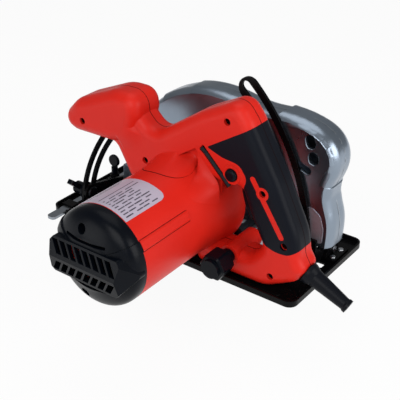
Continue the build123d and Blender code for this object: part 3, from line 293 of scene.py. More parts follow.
# Near-black red of painted shade: the shadow seen in the joints, and further on the walls of the screw
# holes.
joint_and_well_shade = moulded(
    "joint and well shade", "#1C0504", "#120303", grain_mm=0.5, grain_depth=0.02, gloss=0.1, rough=0.8
)
for name, corners, outward in JOINTS:
    line = grow_outline(rounded_outline(corners), outward * JOINT_PROUD)
    ribbon = [(p.x, MID_Y + side * JOINT_W / 2, p.y) for side in (-1, 1) for p in line]
    mesh_piece(name, ribbon, band(2, len(line), closed=True), joint_and_well_shade, "saw_body")

# Fairing between the front horn and its arm: the horn is thicker than the arm and swells out of it.
# It is part of the left half's moulding, a hollow curve that runs out at both ends.
ARM_FACE = 59.5
HORN_FACE = 64.5
ARM_ROUND = 10.0
# The fairing follows the part of the horn's edge with x and z below these, in order round a centre
FAIR_BELOW = Vector((66.0, 140.0))
FAIR_CENTRE = Vector((70.0, 128.0))
# Farthest and nearest foot on the arm and the crest on the horn, measured inwards from the horn's edge
FAIR_FAR = -10.0
FAIR_NEAR = 2.5
FAIR_CREST = 12.0
FAIR_PROUD = 0.03
FAIR_ROWS = 40
FAIR_STEPS = 12
# Least length that anything is divided by
TINY = 1e-9
arm_edge = rounded_outline(GRIP_LINE)
horn_edge = rounded_outline(HORN_LINE, steps=12)


def room(spot):
    """Distance from a spot to where the arm's rounded edge starts; below zero off its flat face."""
    near = ARM_ROUND
    inside = False
    for a, b in zip(arm_edge, arm_edge[1:] + arm_edge[:1]):
        run = b - a
        share = min(max((spot - a).dot(run) / max(run.length_squared, TINY), 0.0), 1.0)
        near = min(near, (spot - a - run * share).length - ARM_ROUND)
        crosses = (a.y > spot.y) != (b.y > spot.y)
        if crosses and spot.x < a.x + run.x * (spot.y - a.y) / run.y:
            inside = not inside
    return near if inside else -ARM_ROUND


def round_centre(pair):
    """Angle of a spot on the horn's edge round the fairing's centre."""
    spoke = pair[0] - FAIR_CENTRE
    return math.atan2(spoke.y, spoke.x) % (2 * math.pi)


# Spots on the horn's edge, each with one a millimetre further in
pairs = zip(horn_edge, grow_outline(horn_edge, -1.0))
run = [pair for pair in pairs if pair[0].x < FAIR_BELOW.x and pair[0].y < FAIR_BELOW.y]
run.sort(key=round_centre)
lengths = [(b[0] - a[0]).length for a, b in zip(run, run[1:])]
reaches = [FAIR_NEAR + (FAIR_FAR - FAIR_NEAR) * k / FAIR_STEPS for k in range(FAIR_STEPS + 1)]
fairing = []
for i in range(FAIR_ROWS + 1):
    along = sum(lengths) * i / FAIR_ROWS
    at = 0
    while at < len(lengths) - 1 and along > lengths[at]:
        along -= lengths[at]
        at += 1
    share = along / max(lengths[at], TINY)
    edge, inner = (a.lerp(b, share) for a, b in zip(run[at], run[at + 1]))
    away = (edge - inner).normalized()
    on_face = [reach for reach in reaches if room(edge - away * reach) > 0.0]
    foot = on_face[-1] if on_face else FAIR_NEAR
    for k in range(FAIR_STEPS + 1):
        share = k / FAIR_STEPS
        spot = edge - away * (foot + (FAIR_CREST - foot) * share)
        rise = share * share * (3 - 2 * share)
        fairing.append((spot.x, ARM_FACE + FAIR_PROUD + (HORN_FACE - ARM_FACE) * rise, spot.y))
quads = band(FAIR_ROWS + 1, FAIR_STEPS + 1)
swell = mesh_piece("horn_fairing", fairing, quads, red_nylon, "saw_body")
swell.data.shade_smooth()

# Saddle of the left handle half: the moulding flares out over the motor and ends in a tongue.
# It lies on the motor housing under the bridge, and the tongue's edge shows as a fine dark joint.
MOTOR_X = -18.4
MOTOR_Z = 59.8
TUBE_R = 46.0
# The motor housing grows by a power of the distance from here towards the handle
FLARE_END = 82.0
FLARE_GAIN = 0.0112
FLARE_POWER = 1.5
# Edge of the tongue as angle round the motor and y, then where its blend starts on the handle
SADDLE = (
    (30.0, 60.2, (26.0, 59.45, 83.5)), (42.0, 66.0, (24.5, 59.45, 85.0)),
    (52.0, 76.0, (14.5, 59.45, 96.0)), (62.0, 85.0, (8.0, 59.45, 103.0)),
    (71.0, 89.9, (0.0, 59.45, 108.0)), (82.0, 91.5, (-8.0, 59.45, 111.0)),
    (90.6, 91.2, (-14.0, 59.45, 112.5)), (98.0, 90.4, (-18.5, 57.5, 111.2)),
    (104.0, 88.2, (-23.0, 54.6, 112.5)), (109.5, 84.5, (-27.0, 53.6, 113.5)),
    (113.7, 78.0, (-31.0, 53.6, 113.0)), (115.3, 69.0, (-34.0, 53.6, 110.0)),
    (113.0, 61.5, (-35.0, 53.8, 106.5)),
)
# Shoulder between the motor and the bed of the hex key, given in the same way
SHOULDER = (
    (117.5, 63.0, (-39.0, 59.45, 120.0)), (121.0, 71.0, (-44.5, 59.45, 114.3)),
    (126.0, 80.0, (-50.0, 59.45, 108.6)), (132.0, 86.0, (-55.5, 59.45, 102.9)),
    (138.0, 88.0, (-60.5, 59.45, 97.6)), (144.0, 85.0, (-62.4, 59.3, 92.5)),
    (150.0, 78.0, (-62.6, 58.9, 87.0)), (156.0, 68.0, (-62.4, 58.4, 80.0)),
    (160.0, 60.5, (-62.5, 58.0, 76.0)),
)
SADDLE_ROWS = 48
BLEND = 12
# How far the blend's foot and the corner it heads for stand off the tube, and the corner's share of its y
FOOT_OFF = 0.05
CORNER_OFF = 0.3
CORNER_SHARE = 0.15
# Radius at which the handle passes over the tube
OVER_R = TUBE_R + 1.2
# Flat floor of the pocket between the tongue and the shoulder, as x and z
POCKET = ((14, 84), (2.6, 97), (-36, 123), (-62, 96), (-62, 84), (-20, 78))
POCKET_Y = 53.45
SEAM_W = 0.9
SEAM_OFF = 0.16


def heading(angle):
    """Unit vector in the X-Z plane at an angle in degrees from +X."""
    return Vector((math.cos(math.radians(angle)), math.sin(math.radians(angle))))


def on_tube(angle, y, proud):
    """A point on the motor housing, which flares towards the handle."""
    r = TUBE_R + proud + FLARE_GAIN * max(FLARE_END - y, 0.0) ** FLARE_POWER
    spoke = heading(angle) * r
    return Vector((MOTOR_X + spoke.x, y, MOTOR_Z + spoke.y))


def between(values, share):
    """Smooth value at a share of the way along a list of equally spaced values."""
    at = share * (len(values) - 1)
    i = min(int(at), len(values) - 2)
    t = at - i
    a, b, c, d = (values[min(max(i + k, 0), len(values) - 1)] for k in (-1, 0, 1, 2))
    bend = a * 2 - b * 5 + c * 4 - d
    twist = (b - c) * 3 + d - a
    return b + (c - a) * (t / 2) + bend * (t * t / 2) + twist * (t**3 / 2)


def blend(foot, corner, top):
    """Points of a curve from foot to top that heads for a corner at both ends."""
    shares = [k / BLEND for k in range(BLEND + 1)]
    return [foot * (1 - t) ** 2 + corner * (2 * t * (1 - t)) + top * t**2 for t in shares]


saddle = []
quads = []
for edges in (SADDLE, SHOULDER):
    quads += band(SADDLE_ROWS + 1, BLEND + 1, len(saddle))
    angles, ys, tops = zip(*edges)
    tops = [Vector(top) for top in tops]
    for i in range(SADDLE_ROWS + 1):
        angle, y, top = (between(values, i / SADDLE_ROWS) for values in (angles, ys, tops))
        above = math.degrees(math.acos(max(min((top.x - MOTOR_X) / OVER_R, 1.0), -1.0)))
        corner = on_tube((angle + above) / 2, top.y + CORNER_SHARE * (y - top.y), CORNER_OFF)
        saddle += blend(on_tube(angle, y, FOOT_OFF), corner, top)
quads.append(tuple(range(len(saddle), len(saddle) + len(POCKET))))
saddle += [Vector((x, POCKET_Y, z)) for x, z in POCKET]
tongue = mesh_piece("handle_saddle", saddle, quads, red_nylon, "saw_body")
tongue.data.shade_smooth()

angles, ys, tops = zip(*SADDLE)
shares = [i / SADDLE_ROWS for i in range(SADDLE_ROWS + 1)]
ribbon = [
    on_tube(between(angles, share), between(ys, share) + side * SEAM_W / 2, SEAM_OFF)
    for side in (1, -1)
    for share in shares
]
mesh_piece("saddle_joint", ribbon, band(2, len(shares)), joint_and_well_shade, "saw_body")

# Painted shade at the foot of the two raised strips along the motor tube, which are moulded in one with
# it.
# Light hardly reaches the corner round each strip, so a fine darker line of painted shade is laid on the
# tube there.
STRIPS = (152.0, 28.0)
STRIP_Y = (100.0, 161.6)
STRIP_HALF = 4.75
STRIP_ROUND = 0.5
SHADE_REACH = (0.05, 0.55)
SHADE_PROUD = 0.1
SHADE_STEPS = 6
shaded_red = moulded(
    "shaded red nylon", "#7A120B", "#650E08", grain_mm=0.5, grain_depth=0.02, gloss=0.1, rough=0.7
)
points = []
quads = []
for middle in STRIPS:
    first = len(points)
    for reach in SHADE_REACH:
        line = [(-STRIP_HALF - reach, STRIP_Y[1])]
        for side in (-1, 1):
            for k in range(SHADE_STEPS + 1):
                turn = 90 * k / SHADE_STEPS
                spoke = heading(turn if side < 0 else 90 - turn) * (STRIP_ROUND + reach)
                across = side * (STRIP_HALF - STRIP_ROUND + spoke.x)
                line.append((across, STRIP_Y[0] + STRIP_ROUND - spoke.y))
        line.append((STRIP_HALF + reach, STRIP_Y[1]))
        points += [on_tube(middle + math.degrees(u / TUBE_R), y, SHADE_PROUD) for u, y in line]
    quads += band(2, len(line), first)
mesh_piece("strip_foot_shade", points, quads, shaded_red, "saw_body")

# Screws of the handle and the end cap, sunk in deep holes: their near-black colour, given as black
# passivated steel, is painted shade of the holes.
# Each head has a cross recess, drawn as a dark cross of painted shade just above it.
# Case screws, rivets and pins have a bright zinc plate instead.
HANDLE_SCREWS = ((95.5, 115.5), (22, 93.5), (-70, 157), (-107.5, 100), (-131, 56), (-118.8, 20.5))
HANDLE_CROSS_Y = 51.55
CAP_SCREWS = ((-12.4, 90.8), (-10.4, 26.8))
CAP_CROSS_Y = 169.65
CROSS_LONG = 4.0
CROSS_WIDE = 1.0
CROSS_TURNS = (35, 125)
# Radius of the holes over the handle screws, the heads they end on and how far up their shade reaches
WELL_R = 3.24
WELL_FOOT = 51.6
WELL_TOPS = (62.0, 56.5, 56.5, 56.5, 56.5, 56.5)
WELL_SIDES = 32
# Width of brushed streaks, strength and depth of a metal's skin, and roughness of a clear coat
BRUSH_MM = 0.8
SKIN_STRENGTH = 0.12
SKIN_MM = 0.1
COAT_ROUGH = 0.2


def metal(name, light, dark, patch_mm, rough, spread, coat=0.0, brushed=None, bare=1.0):
    """Bare or lacquered metal: two close tones, patchy gloss, optional streaks along some axes."""
    material, tree, out = blank(name)
    place = put(tree, "ShaderNodeTexCoord").outputs["Object"]
    patch = put(tree, "ShaderNodeTexNoise", {"Vector": place, "Scale": MM_PER_M / patch_mm, "Detail": 4.0})
    detail = patch.outputs[0]
    if brushed:
        streak = put(tree, "ShaderNodeMapping", {"Vector": place, "Scale": brushed}).outputs[0]
        streaks = {"Vector": streak, "Scale": MM_PER_M / BRUSH_MM, "Detail": 2.0}
        detail = put(tree, "ShaderNodeTexNoise", streaks).outputs[0]
    tones = {0: patch.outputs[0], 6: hex_linear(dark), 7: hex_linear(light)}
    colour = put(tree, "ShaderNodeMix", tones, data_type="RGBA")
    edge = put(tree, "ShaderNodeBevel", {"Radius": EDGE_MM / MM_PER_M}, samples=EDGE_SAMPLES)
    relief = put(
        tree,
        "ShaderNodeBump",
        {
            "Height": detail,
            "Strength": SKIN_STRENGTH,
            "Distance": SKIN_MM / MM_PER_M,
            "Normal": edge.outputs[0],
        },
    )
    drift = {"Value": detail, "To Min": rough - spread, "To Max": rough + spread}
    shine = put(tree, "ShaderNodeMapRange", drift)
    surface = put(
        tree,
        "ShaderNodeBsdfPrincipled",
        {
            "Base Color": colour.outputs[2],
            "Metallic": bare,
            "Roughness": shine.outputs[0],
            "Coat Weight": coat,
            "Coat Roughness": COAT_ROUGH,
            "Normal": relief.outputs[0],
        },
    )
    tree.links.new(surface.outputs[0], out.inputs["Surface"])
    return material


def oblong(x, z, tilt, long, wide):
    """Corners of an oblong about a middle, turned by an angle in degrees in the X-Z plane."""
    along = heading(tilt)
    across = Vector((-along.y, along.x))
    return [Vector((x, z)) + along * (s * long / 2) + across * (t * wide / 2) for s, t in SQUARE]


zinc = metal("zinc plated steel", "#C9CCD0", "#A9ADB4", patch_mm=9.0, rough=0.3, spread=0.08)
dress(zinc, "case_screws", "shoe_rivets", "bevel_pins", "depth_pin", "bar_rivets")
# Near black as painted shade of the deep holes that these screws sit in.
hole_shade_zinc = metal(
    "zinc steel darkened as hole shade", "#2A2A2C", "#1B1B1D", patch_mm=5.0, rough=0.36, spread=0.06
)
dress(hole_shade_zinc, "handle_screws", "cap_screws")

# Dark crosses of painted shade over the screw heads, standing for their cross recesses.
recess = metal("shadowed recess", "#1B1C1E", "#0D0E0F", patch_mm=1.0, rough=0.6, spread=0.05)
points = []
quads = []
for screws, y in ((HANDLE_SCREWS, HANDLE_CROSS_Y), (CAP_SCREWS, CAP_CROSS_Y)):
    for x, z in screws:
        for turn in CROSS_TURNS:
            first = len(points)
            points += [(p.x, y, p.y) for p in oblong(x, z, turn, CROSS_LONG, CROSS_WIDE)]
            quads.append((first + 3, first + 2, first + 1, first))
mesh_piece("cross_recesses", points, quads, recess, "saw_body")

# Walls of the handle screws' holes lined with a near-black sheet of painted shade, from the heads up.
ring = [heading(360 * i / WELL_SIDES) * WELL_R for i in range(WELL_SIDES)]
points = []
quads = []
for (x, z), top in zip(HANDLE_SCREWS, WELL_TOPS):
    quads += band(2, WELL_SIDES, len(points), closed=True)
    points += [(x + spoke.x, y, z + spoke.y) for y in (top, WELL_FOOT) for spoke in ring]
mesh_piece("screw_well_shade", points, quads, joint_and_well_shade, "saw_body")

# Soft grip skins and cord boot: thermoplastic rubber, moulded over the handle or on its own.
# It is dark, faintly blue and nearly matt, with a low broad gloss along the back of the grip.
soft_rubber = moulded(
    "overmoulded soft rubber", "#0D111B", "#080A12", grain_mm=0.7, grain_depth=0.08, gloss=0.1, rough=0.42
)
dress(soft_rubber, "grip_left", "grip_right")
boot_rubber = moulded(
    "cord boot rubber", "#0B0E17", "#06080D", grain_mm=0.8, grain_depth=0.06, gloss=0.12, rough=0.42
)
dress(boot_rubber, "cord_boot")

# End cap, knobs, trigger, button and fan: black nylon, moulded with a slight satin gloss.
# The grain is coarser than on the housing, so highlights break up on the dome.
black_nylon = moulded(
    "black glass-filled nylon", "#080C15", "#04070C", grain_mm=0.6, grain_depth=0.07, gloss=0.1, rough=0.3
)
dress(black_nylon, "end_cap", "depth_knob", "bevel_knob", "fence_screw", "trigger", "lock_button")
dress(black_nylon, "switch_block", "cooling_fan", "fan_baffle")
lever_nylon = moulded(
    "charcoal nylon", "#26292F", "#1A1C21", grain_mm=0.6, grain_depth=0.06, gloss=0.3, rough=0.42
)
dress(lever_nylon, "guard_lever")

# Rating plate on the motor: a thin satin film glued round the tube, its far corners rounded.
# It is printed with plain grey rules and dashes, one short line under another.
PLATE_A = (52.0, 123.0)
PLATE_Y = (109.0, 161.4)
PLATE_CORNER = 7.0
PLATE_ROWS = 48
PLATE_STEPS = 14
FILM_T = 0.18
INK_T = 0.03
# First and last angle and y of each whole rule
RULES = ((62.0, 63.6, 114.0, 158.0), (66.0, 67.2, 120.0, 150.0), (80.0, 81.2, 114.0, 158.0))
# Angles of the dashed lines, their height as an angle and the y values between which they run
LINE_ANGLES = range(86, 121, 4)
LINE_TURN = 1.5
LINE_Y = (114.0, 159.0)
# Indents that the lines take in turn, and how far each line's dashes are shifted from the last line's
LINE_INDENTS = (0.0, 4.4, 8.8, 2.2, 6.6)
LINE_SHIFT = 0.23
# Where the dashes start as shares of a line, the share each takes and the gap after it
DASH_STARTS = (0.0, 0.19, 0.45, 0.64, 0.93)
DASH_SHARE = 0.2
DASH_GAP = 1.2


def tube_patch(angles, ys, proud, corner=0.0):
    """Rows of points on the motor tube between angles and y values, rounded at the far corners."""
    points = []
    turn = angles[1] - angles[0]
    length = math.radians(turn) * TUBE_R
    for i in range(PLATE_ROWS + 1):
        share = i / PLATE_ROWS
        inset = corner - min(share, 1 - share) * length
        start = ys[0] + (corner - math.sqrt(corner**2 - inset**2) if inset > 0 else 0.0)
        for k in range(PLATE_STEPS + 1):
            y = start + (ys[1] - start) * k / PLATE_STEPS
            points.append(on_tube(angles[0] + turn * share, y, proud))
    return points


film = moulded(
    "satin printed film", "#BDB4C4", "#AFA6B8", grain_mm=3.0, grain_depth=0.01, gloss=0.45, rough=0.38
)
points = tube_patch(PLATE_A, PLATE_Y, FILM_T, PLATE_CORNER)
quads = band(PLATE_ROWS + 1, PLATE_STEPS + 1)
plate = mesh_piece("rating_plate", points, quads, film, "saw_body")
thick = plate.modifiers.new("film thickness", "SOLIDIFY")
thick.thickness = FILM_T / MM_PER_M
thick.offset = -1.0

ink = moulded("grey print", "#5E5866", "#4F4A57", grain_mm=1.0, grain_depth=0.01, gloss=0.3, rough=0.6)
marks = list(RULES)
for i, angle in enumerate(LINE_ANGLES):
    near = LINE_Y[0] + LINE_INDENTS[i % len(LINE_INDENTS)]
    length = LINE_Y[1] - near
    for dash in DASH_STARTS:
        start = (dash + i * LINE_SHIFT) % 1.0
        end = min(start + DASH_SHARE, 1.0)
        marks.append((angle, angle + LINE_TURN, near + length * start, near + length * end - DASH_GAP))
points = []
quads = []
for a0, a1, y0, y1 in marks:
    quads += band(PLATE_ROWS + 1, PLATE_STEPS + 1, len(points))
    points += tube_patch((a0, a1), (y0, y1), FILM_T + INK_T)
mesh_piece("plate_rules", points, quads, ink, "saw_body")

# Upper guard, gear case and bearing plate: die-cast aluminium under a silver-blue flake lacquer.
# The flakes scatter more than bare metal, the skin is slightly mottled, and a clear coat adds gloss.
cast_silver = metal(
    "silver lacquer on cast aluminium", "#97A3B1", "#7F8B99",
    patch_mm=22.0, rough=0.29, spread=0.04, coat=0.2, bare=0.95,
)
dress(cast_silver, "upper_guard", "gear_case", "bearing_plate")

# Rim of the upper guard: a casting line runs round its crest, where the two halves of the die met.
# Four low steps cross the rim, two over the blade and two along the chip duct, and run out rearwards.
ARBOR = Vector((-7.99, 33.0))
GUARD_R = 113.0
DRUM_ANGLES = range(6, 104, 2)
DRUM_END = 102.4
# Points that the outline of the duct passes through; the rim ends at the last but one
DUCT = (
    (-56, 140), (-86, 141), (-112, 138), (-131, 127.5), (-139.5, 110), (-137.5, 92), (-132.5, 76),
    (-135, 62), (-139.5, 46), (-139.5, 24), (-139, 4),
)
DUCT_STEPS = 24
CURVE_STEPS = 32
CURVE_SWEEPS = 40
RIM_R = 14.0
RIM_SIDES = (-20.5, -33.0)
# Angles up each side of the rim at which its cross section has points
RIM_ANGLES = (range(48, -1, -6), range(0, 85, 6))
CREST_W = 0.9
CREST_PROUD = 0.3
# Distance along the rim, length of the run-out, height and forward lean at the wall of each step
STEPS = ((94.7, 36.0, 1.3, 0.0), (134.1, 44.0, 1.3, 0.0), (238.0, 34.0, 2.0, 8.0), (342.0, 30.0, 0.8, 0.0))
STEP_RAMP = 0.7
STEP_FALL = 1.4
STEP_ROWS = 16
# How far the foot of a step's ramp and the end of its run-out lie above the rim
STEP_FOOT = -0.1
STEP_END = 0.02
# Edges that turn by more than this stay sharp
SHARP_TURN = math.radians(40)


def curve_through(points, start, end):
    """Line along a smooth cubic curve through points, from a start direction to an end direction."""
    spans = [(b - a).length for a, b in zip(points, points[1:])]
    slopes = [(b - a) / span for a, b, span in zip(points, points[1:], spans)]
    leans = [start] + slopes[1:] + [end]
    # Each sweep brings the slopes nearer to those at which the bend runs on evenly through every point
    for _ in range(CURVE_SWEEPS):
        for i in range(1, len(spans)):
            before = (slopes[i - 1] * 3 - leans[i - 1]) * spans[i]
            after = (slopes[i] * 3 - leans[i + 1]) * spans[i - 1]
            leans[i] = (before + after) / (2 * (spans[i - 1] + spans[i]))
    line = [points[0]]
    for i, span in enumerate(spans):
        a, b = points[i:i + 2]
        handles = a + leans[i] * (span / 3), b - leans[i + 1] * (span / 3)
        line += interpolate_bezier(a, *handles, b, CURVE_STEPS + 1)[1:]
    return line


def line_point(line, distance):
    """Point at a distance along a line, and the direction to the line's left."""
    for a, b in zip(line, line[1:]):
        run = b - a
        if distance <= run.length:
            break
        distance -= run.length
    run.normalize()
    return a + run * distance, Vector((-run.y, run.x))


drum = [ARBOR + heading(angle) * GUARD_R for angle in DRUM_ANGLES]
duct_points = [ARBOR + heading(DRUM_END) * GUARD_R] + [Vector(p) for p in DUCT]
duct_line = curve_through(duct_points, heading(DRUM_END + 90), heading(-90))
duct_length = sum((b - a).length for a, b in zip(duct_line, duct_line[1:]))
duct = [line_point(duct_line, duct_length * i / DUCT_STEPS)[0] for i in range(1, DUCT_STEPS)]
rim_end = Vector(DUCT[-2])
guard_line = drum + [p for p in duct if p.y > rim_end.y] + [rim_end]

crest_line = shift_outline(guard_line, -CREST_PROUD, closed=False)
ribbon = [(p.x, sum(RIM_SIDES) / 2 + side * CREST_W / 2, p.y) for side in (1, -1) for p in crest_line]
ground_line = metal("ground casting line", "#B9C1C8", "#9AA3AC", patch_mm=6.0, rough=0.4, spread=0.05)
mesh_piece("casting_line", ribbon, band(2, len(crest_line)), ground_line, "saw_body")

# Cross section of the rim as inset, y and the direction away from the metal
rim_profile = []
for angles, middle, side in zip(RIM_ANGLES, RIM_SIDES, (1, -1)):
    for angle in angles:
        spoke = heading(angle)
        inset = RIM_R * (1 - spoke.x)
        rim_profile.append((inset, middle + side * RIM_R * spoke.y, -spoke.x, side * spoke.y))

shares = [k / STEP_ROWS for k in range(STEP_ROWS + 1)]
points = []
quads = []
for begin, length, height, lean in STEPS:
    heights = [STEP_FOOT] + [height * (1 - share) ** STEP_FALL + STEP_END for share in shares]
    places = [-STEP_RAMP] + [length * share for share in shares]
    quads += band(len(places), len(rim_profile), len(points))
    for place, proud in zip(places, heights):
        for inset, y, away, rise in rim_profile:
            at, inward = line_point(guard_line, begin + place - lean * max(rise, 0.0))
            lift = proud * (1 - rise**2)
            spot = at + inward * (inset + away * lift)
            points.append((spot.x, y + rise * lift, spot.y))
steps = mesh_piece("rim_steps", points, quads, cast_silver, "saw_body")
steps.data.shade_smooth()
steps.data.set_sharp_from_angle(angle=SHARP_TURN)

# Border of the sunk wall in the duct: the rim swells inwards there and drops sharply to the wall.
# It is cast and lacquered in one with the guard.
GUARD_FACE = -10.0
RIM_INSET = 4.74
BORDER_FOOT = (2.2, -12.95)
BORDER_PROUD = 1.5
BORDER_ROWS = 72
# Run of the drop to the wall, how far it goes under the wall, and the share of height at the closed end
DROP_RUN = 0.5
DROP_SUNK = 0.15
END_SHARE = -0.1
# Distance along the rim, width of the border and its share of the full height
BORDER = (
    (244.0, 9.4, 0.0), (251.0, 8.0, 0.8), (260.0, 6.2, 1.0), (272.0, 5.7, 1.0), (284.0, 5.7, 1.0),
    (296.0, 5.7, 1.0), (306.0, 5.7, 1.0), (315.0, 6.4, 1.0), (324.0, 9.0, 1.0), (333.0, 10.5, 1.0),
    (341.5, 10.5, 1.0),
)
points = []
for i in range(BORDER_ROWS + 2):
    share = min(i / BORDER_ROWS, 1.0)
    distance, width, full = (between(values, share) for values in zip(*BORDER))
    if i > BORDER_ROWS:
        full = END_SHARE
    at, inward = line_point(guard_line, distance)
    top = GUARD_FACE + BORDER_PROUD * full
    section = (BORDER_FOOT, (RIM_INSET, top), (width, top), (width + DROP_RUN, GUARD_FACE - DROP_SUNK))
    spots = [(at + inward * reach, y) for reach, y in section]
    foot, knee, crest, drop = (Vector((spot.x, y, spot.y)) for spot, y in spots)
    points += blend(foot, knee, crest) + [drop]
quads = band(BORDER_ROWS + 2, BLEND + 2)
border = mesh_piece("wall_border", points, quads, cast_silver, "saw_body")
border.data.shade_smooth()
border.data.set_sharp_from_angle(angle=SHARP_TURN)

# Lips of the three openings in that wall, cast with it and lacquered like the rest.
# They are fullest at the lower front edge of each opening and catch the light there.
LIP_SIDE = Vector((0.5, -0.87))
LIP_LEAST = 0.15
# Offset from the edge of an opening and height above the wall, from the outside in
LIP = ((0.8, -0.1), (0.5, 0.55), (0.1, 0.6), (-0.5, 0.1), (-0.6, -1.6))
# Middle as x and z, tilt, length and width of each opening
OPENINGS = (
    (-112.5, 124.0, 75.0, 14.0, 10.5), (-116.5, 108.5, 85.0, 13.0, 11.0), (-107.0, 96.5, 20.0, 17.0, 8.0),
)
# Corner radius as a share of the width; just under a half, so that the arcs of an end don't overlap
ROUND_SHARE = 0.499
points = []
quads = []
for x, z, tilt, long, wide in OPENINGS:
    edge = rounded_outline([(p.x, p.y, wide * ROUND_SHARE) for p in oblong(x, z, tilt, long, wide)])
    quads += band(len(LIP), len(edge), len(points), closed=True)
    outward = [b - a for a, b in zip(edge, grow_outline(edge, 1.0))]
    for offset, height in LIP:
        for p, away in zip(edge, outward):
            full = max(away.dot(LIP_SIDE), LIP_LEAST)
            spot = p + away * (offset * full)
            points.append((spot.x, GUARD_FACE + (height * full if height > 0 else height), spot.y))
lips = mesh_piece("opening_lips", points, quads, cast_silver, "saw_body")
lips.data.shade_smooth()

# Cast pad low on the guard's wall, left bare, with a raised border.
# It stands a third of a millimetre above the wall, behind the depth bar.
PAD = ((-110, 59, 3), (-120, 58.5, 6), (-128, 53, 8), (-132, 40, 12), (-131.5, 24, 3), (-108, 24, 3))
# Distance in from the pad's outline and height above the wall, from the outside in
PAD_FORM = ((0.0, -0.2), (0.0, 0.33), (1.3, 0.33), (1.8, 0.12))
pale_cast = metal(
    "bare cast aluminium", "#D2CFDB", "#BAB7C4", patch_mm=3.0, rough=0.36, spread=0.06, bare=0.6
)
pad_line = rounded_outline(PAD, steps=6)
points = []
for inset, height in PAD_FORM:
    points += [(p.x, GUARD_FACE + height, p.y) for p in grow_outline(pad_line, -inset)]
quads = band(len(PAD_FORM), len(pad_line), closed=True)
quads.append(tuple(range(len(points) - len(pad_line), len(points))))
mesh_piece("guard_pad", points, quads, pale_cast, "saw_body")

# Shoe, quadrant, yokes and depth bar: pressed steel under gloss black enamel.
# The enamel has a faint orange peel and a low, fairly sharp reflection that dulls in patches.
PEEL_MM = 1.6
PEEL_STRENGTH = 0.1
PEEL_DEPTH_MM = 0.2
DULL_MM = 18.0
ENAMEL_ROUGH = (0.2, 0.34)
ENAMEL_IOR = 1.5
ENAMEL_GLOSS = 0.09
enamel, tree, out = blank("black enamel on steel")
place = put(tree, "ShaderNodeTexCoord").outputs["Object"]
peel = put(tree, "ShaderNodeTexNoise", {"Vector": place, "Scale": MM_PER_M / PEEL_MM, "Detail": 1.0})
dull = put(tree, "ShaderNodeTexNoise", {"Vector": place, "Scale": MM_PER_M / DULL_MM, "Detail": 4.0})
tones = {0: dull.outputs[0], 6: hex_linear("#070708"), 7: hex_linear("#0E0E10")}
colour = put(tree, "ShaderNodeMix", tones, data_type="RGBA")
edge = put(tree, "ShaderNodeBevel", {"Radius": EDGE_MM / MM_PER_M}, samples=EDGE_SAMPLES)
relief = put(
    tree,
    "ShaderNodeBump",
    {
        "Height": peel.outputs[0],
        "Strength": PEEL_STRENGTH,
        "Distance": PEEL_DEPTH_MM / MM_PER_M,
        "Normal": edge.outputs[0],
    },
)
drift = {"Value": dull.outputs[0], "To Min": ENAMEL_ROUGH[0], "To Max": ENAMEL_ROUGH[1]}
shine = put(tree, "ShaderNodeMapRange", drift)
surface = put(
    tree,
    "ShaderNodeBsdfPrincipled",
    {
        "Base Color": colour.outputs[2],
        "Roughness": shine.outputs[0],
        "IOR": ENAMEL_IOR,
        "Specular IOR Level": ENAMEL_GLOSS,
        "Normal": relief.outputs[0],
    },
)
tree.links.new(surface.outputs[0], out.inputs["Surface"])
dress(enamel, "shoe_plate", "bevel_quadrant", "rear_upright", "fence_bridges")
dress(enamel, "front_yoke", "rear_yoke", "depth_bar", "clamp_plate")

# Rip fence and lower guard: zinc-plated sheet, rolled in one direction before plating.
# Streaks along the rolling direction break the reflections.
# Scale of the streaks along each axis; they run along the axis with the small one
ALONG_X = (0.02, 1.0, 1.0)
rolled_zinc = metal(
    "rolled zinc plated sheet", "#A8AEB5", "#8B9199",
    patch_mm=12.0, rough=0.34, spread=0.07, brushed=ALONG_X,
)
dress(rolled_zinc, "rip_fence", "lower_guard")

# Blade: hardened steel disc, ground on both faces and bolted between two flanges.
# Grinding runs round the disc, so its fine lines are rings about the arbor.
BLADE_Y = -28.0
RING_MM = 0.9
RING_STRENGTH = 0.15
RING_DEPTH_MM = 0.05
BLADE_ROUGH = (0.2, 0.36)
ground, tree, out = blank("ground blade steel")
place = put(tree, "ShaderNodeTexCoord").outputs["Object"]
arbor_at = Vector((ARBOR.x, BLADE_Y, ARBOR.y)) / MM_PER_M
centred = put(tree, "ShaderNodeVectorMath", {0: place, 1: arbor_at}, operation="SUBTRACT")
radius = put(tree, "ShaderNodeVectorMath", {0: centred.outputs[0]}, operation="LENGTH")
rings = put(
    tree,
    "ShaderNodeTexNoise",
    {"W": radius.outputs["Value"], "Scale": MM_PER_M / RING_MM, "Detail": 2.0},
    noise_dimensions="1D",
)
tones = {0: rings.outputs[0], 6: hex_linear("#A4A8AE"), 7: hex_linear("#C9CDD2")}
colour = put(tree, "ShaderNodeMix", tones, data_type="RGBA")
drift = {"Value": rings.outputs[0], "To Min": BLADE_ROUGH[0], "To Max": BLADE_ROUGH[1]}
shine = put(tree, "ShaderNodeMapRange", drift)
relief = put(
    tree,
    "ShaderNodeBump",
    {"Height": rings.outputs[0], "Strength": RING_STRENGTH, "Distance": RING_DEPTH_MM / MM_PER_M},
)
surface = put(
    tree,
    "ShaderNodeBsdfPrincipled",
    {
        "Base Color": colour.outputs[2],
        "Metallic": 1.0,
        "Roughness": shine.outputs[0],
        "Normal": relief.outputs[0],
    },
)
tree.links.new(surface.outputs[0], out.inputs["Surface"])
dress(ground, "saw_blade")

# Carbide tips: a small block brazed on the leading face of each tooth, wider than the disc.
# Sintered carbide is a darker, duller grey than the steel behind it.
TEETH = 24
TIP_HALF = 1.35
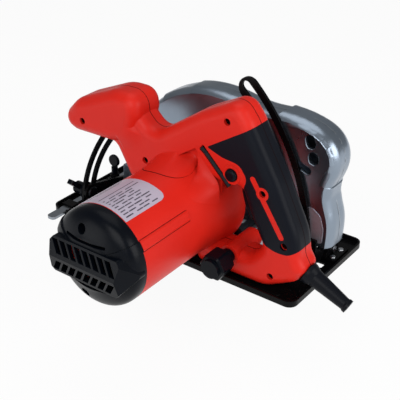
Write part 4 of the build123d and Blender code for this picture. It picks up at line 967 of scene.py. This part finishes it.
# Corners of a tip as radius and angle, in order round it
TIP = ((89.6, -1.15), (89.6, 0.3), (95.1, 0.3), (94.2, -1.15))
points = []
quads = []
for i in range(TEETH):
    first = len(points)
    corners = [ARBOR + heading(turn - i * 360 / TEETH) * r for r, turn in TIP]
    points += [(p.x, BLADE_Y + side * TIP_HALF, p.y) for side in (-1, 1) for p in corners]
    quads += [(first + 3, first + 2, first + 1, first), (first + 4, first + 5, first + 6, first + 7)]
    quads += band(2, len(TIP), first, closed=True)
carbide = metal("sintered carbide", "#85888E", "#6B6E74", patch_mm=0.8, rough=0.42, spread=0.06)
mesh_piece("carbide_tips", points, quads, carbide, "spindle")

# Arbor, bearings, gears and springs: turned or ground bright steel.
# The hex key, clipped into its groove beside the lock button, and the bevel bolt are black oxide steel.
bright = metal("ground steel", "#C4C8CC", "#A2A6AB", patch_mm=6.0, rough=0.24, spread=0.06)
dress(bright, "spindle", "drive_gear", "inner_flange", "outer_flange", "blade_bolt", "armature_shaft")
dress(bright, "spindle_bearing", "front_bearing", "rear_bearing", "guard_spring", "clamp_spring")
blackened = metal("black oxide steel", "#26272A", "#17181A", patch_mm=4.0, rough=0.4, spread=0.06)
dress(blackened, "hex_key", "bevel_bolt")

# Motor parts behind the housing: varnished laminations, enamelled copper, brass and pressed carbon.
# What shows of them shows through the louvres of the end cap.
# The edges of the laminations run in x and z, across the motor.
ALONG_XZ = (0.02, 1.0, 0.02)
copper = metal("enamelled copper", "#C77B45", "#A45A2E", patch_mm=3.0, rough=0.3, spread=0.08, coat=0.4)
dress(copper, "field_coils", "armature_windings", "commutator")
laminated = metal(
    "varnished laminations", "#6B6C70", "#4C4D51", patch_mm=0.5, rough=0.45, spread=0.1, brushed=ALONG_XZ
)
dress(laminated, "stator_core", "armature_core")
brass = metal("drawn brass", "#D0A95A", "#B58C42", patch_mm=5.0, rough=0.3, spread=0.06)
dress(brass, "brush_holders", "spindle_bush")
carbon = moulded(
    "pressed carbon", "#2A2A2B", "#1B1B1C", grain_mm=0.4, grain_depth=0.03, gloss=0.3, rough=0.6
)
dress(carbon, "carbon_brushes")
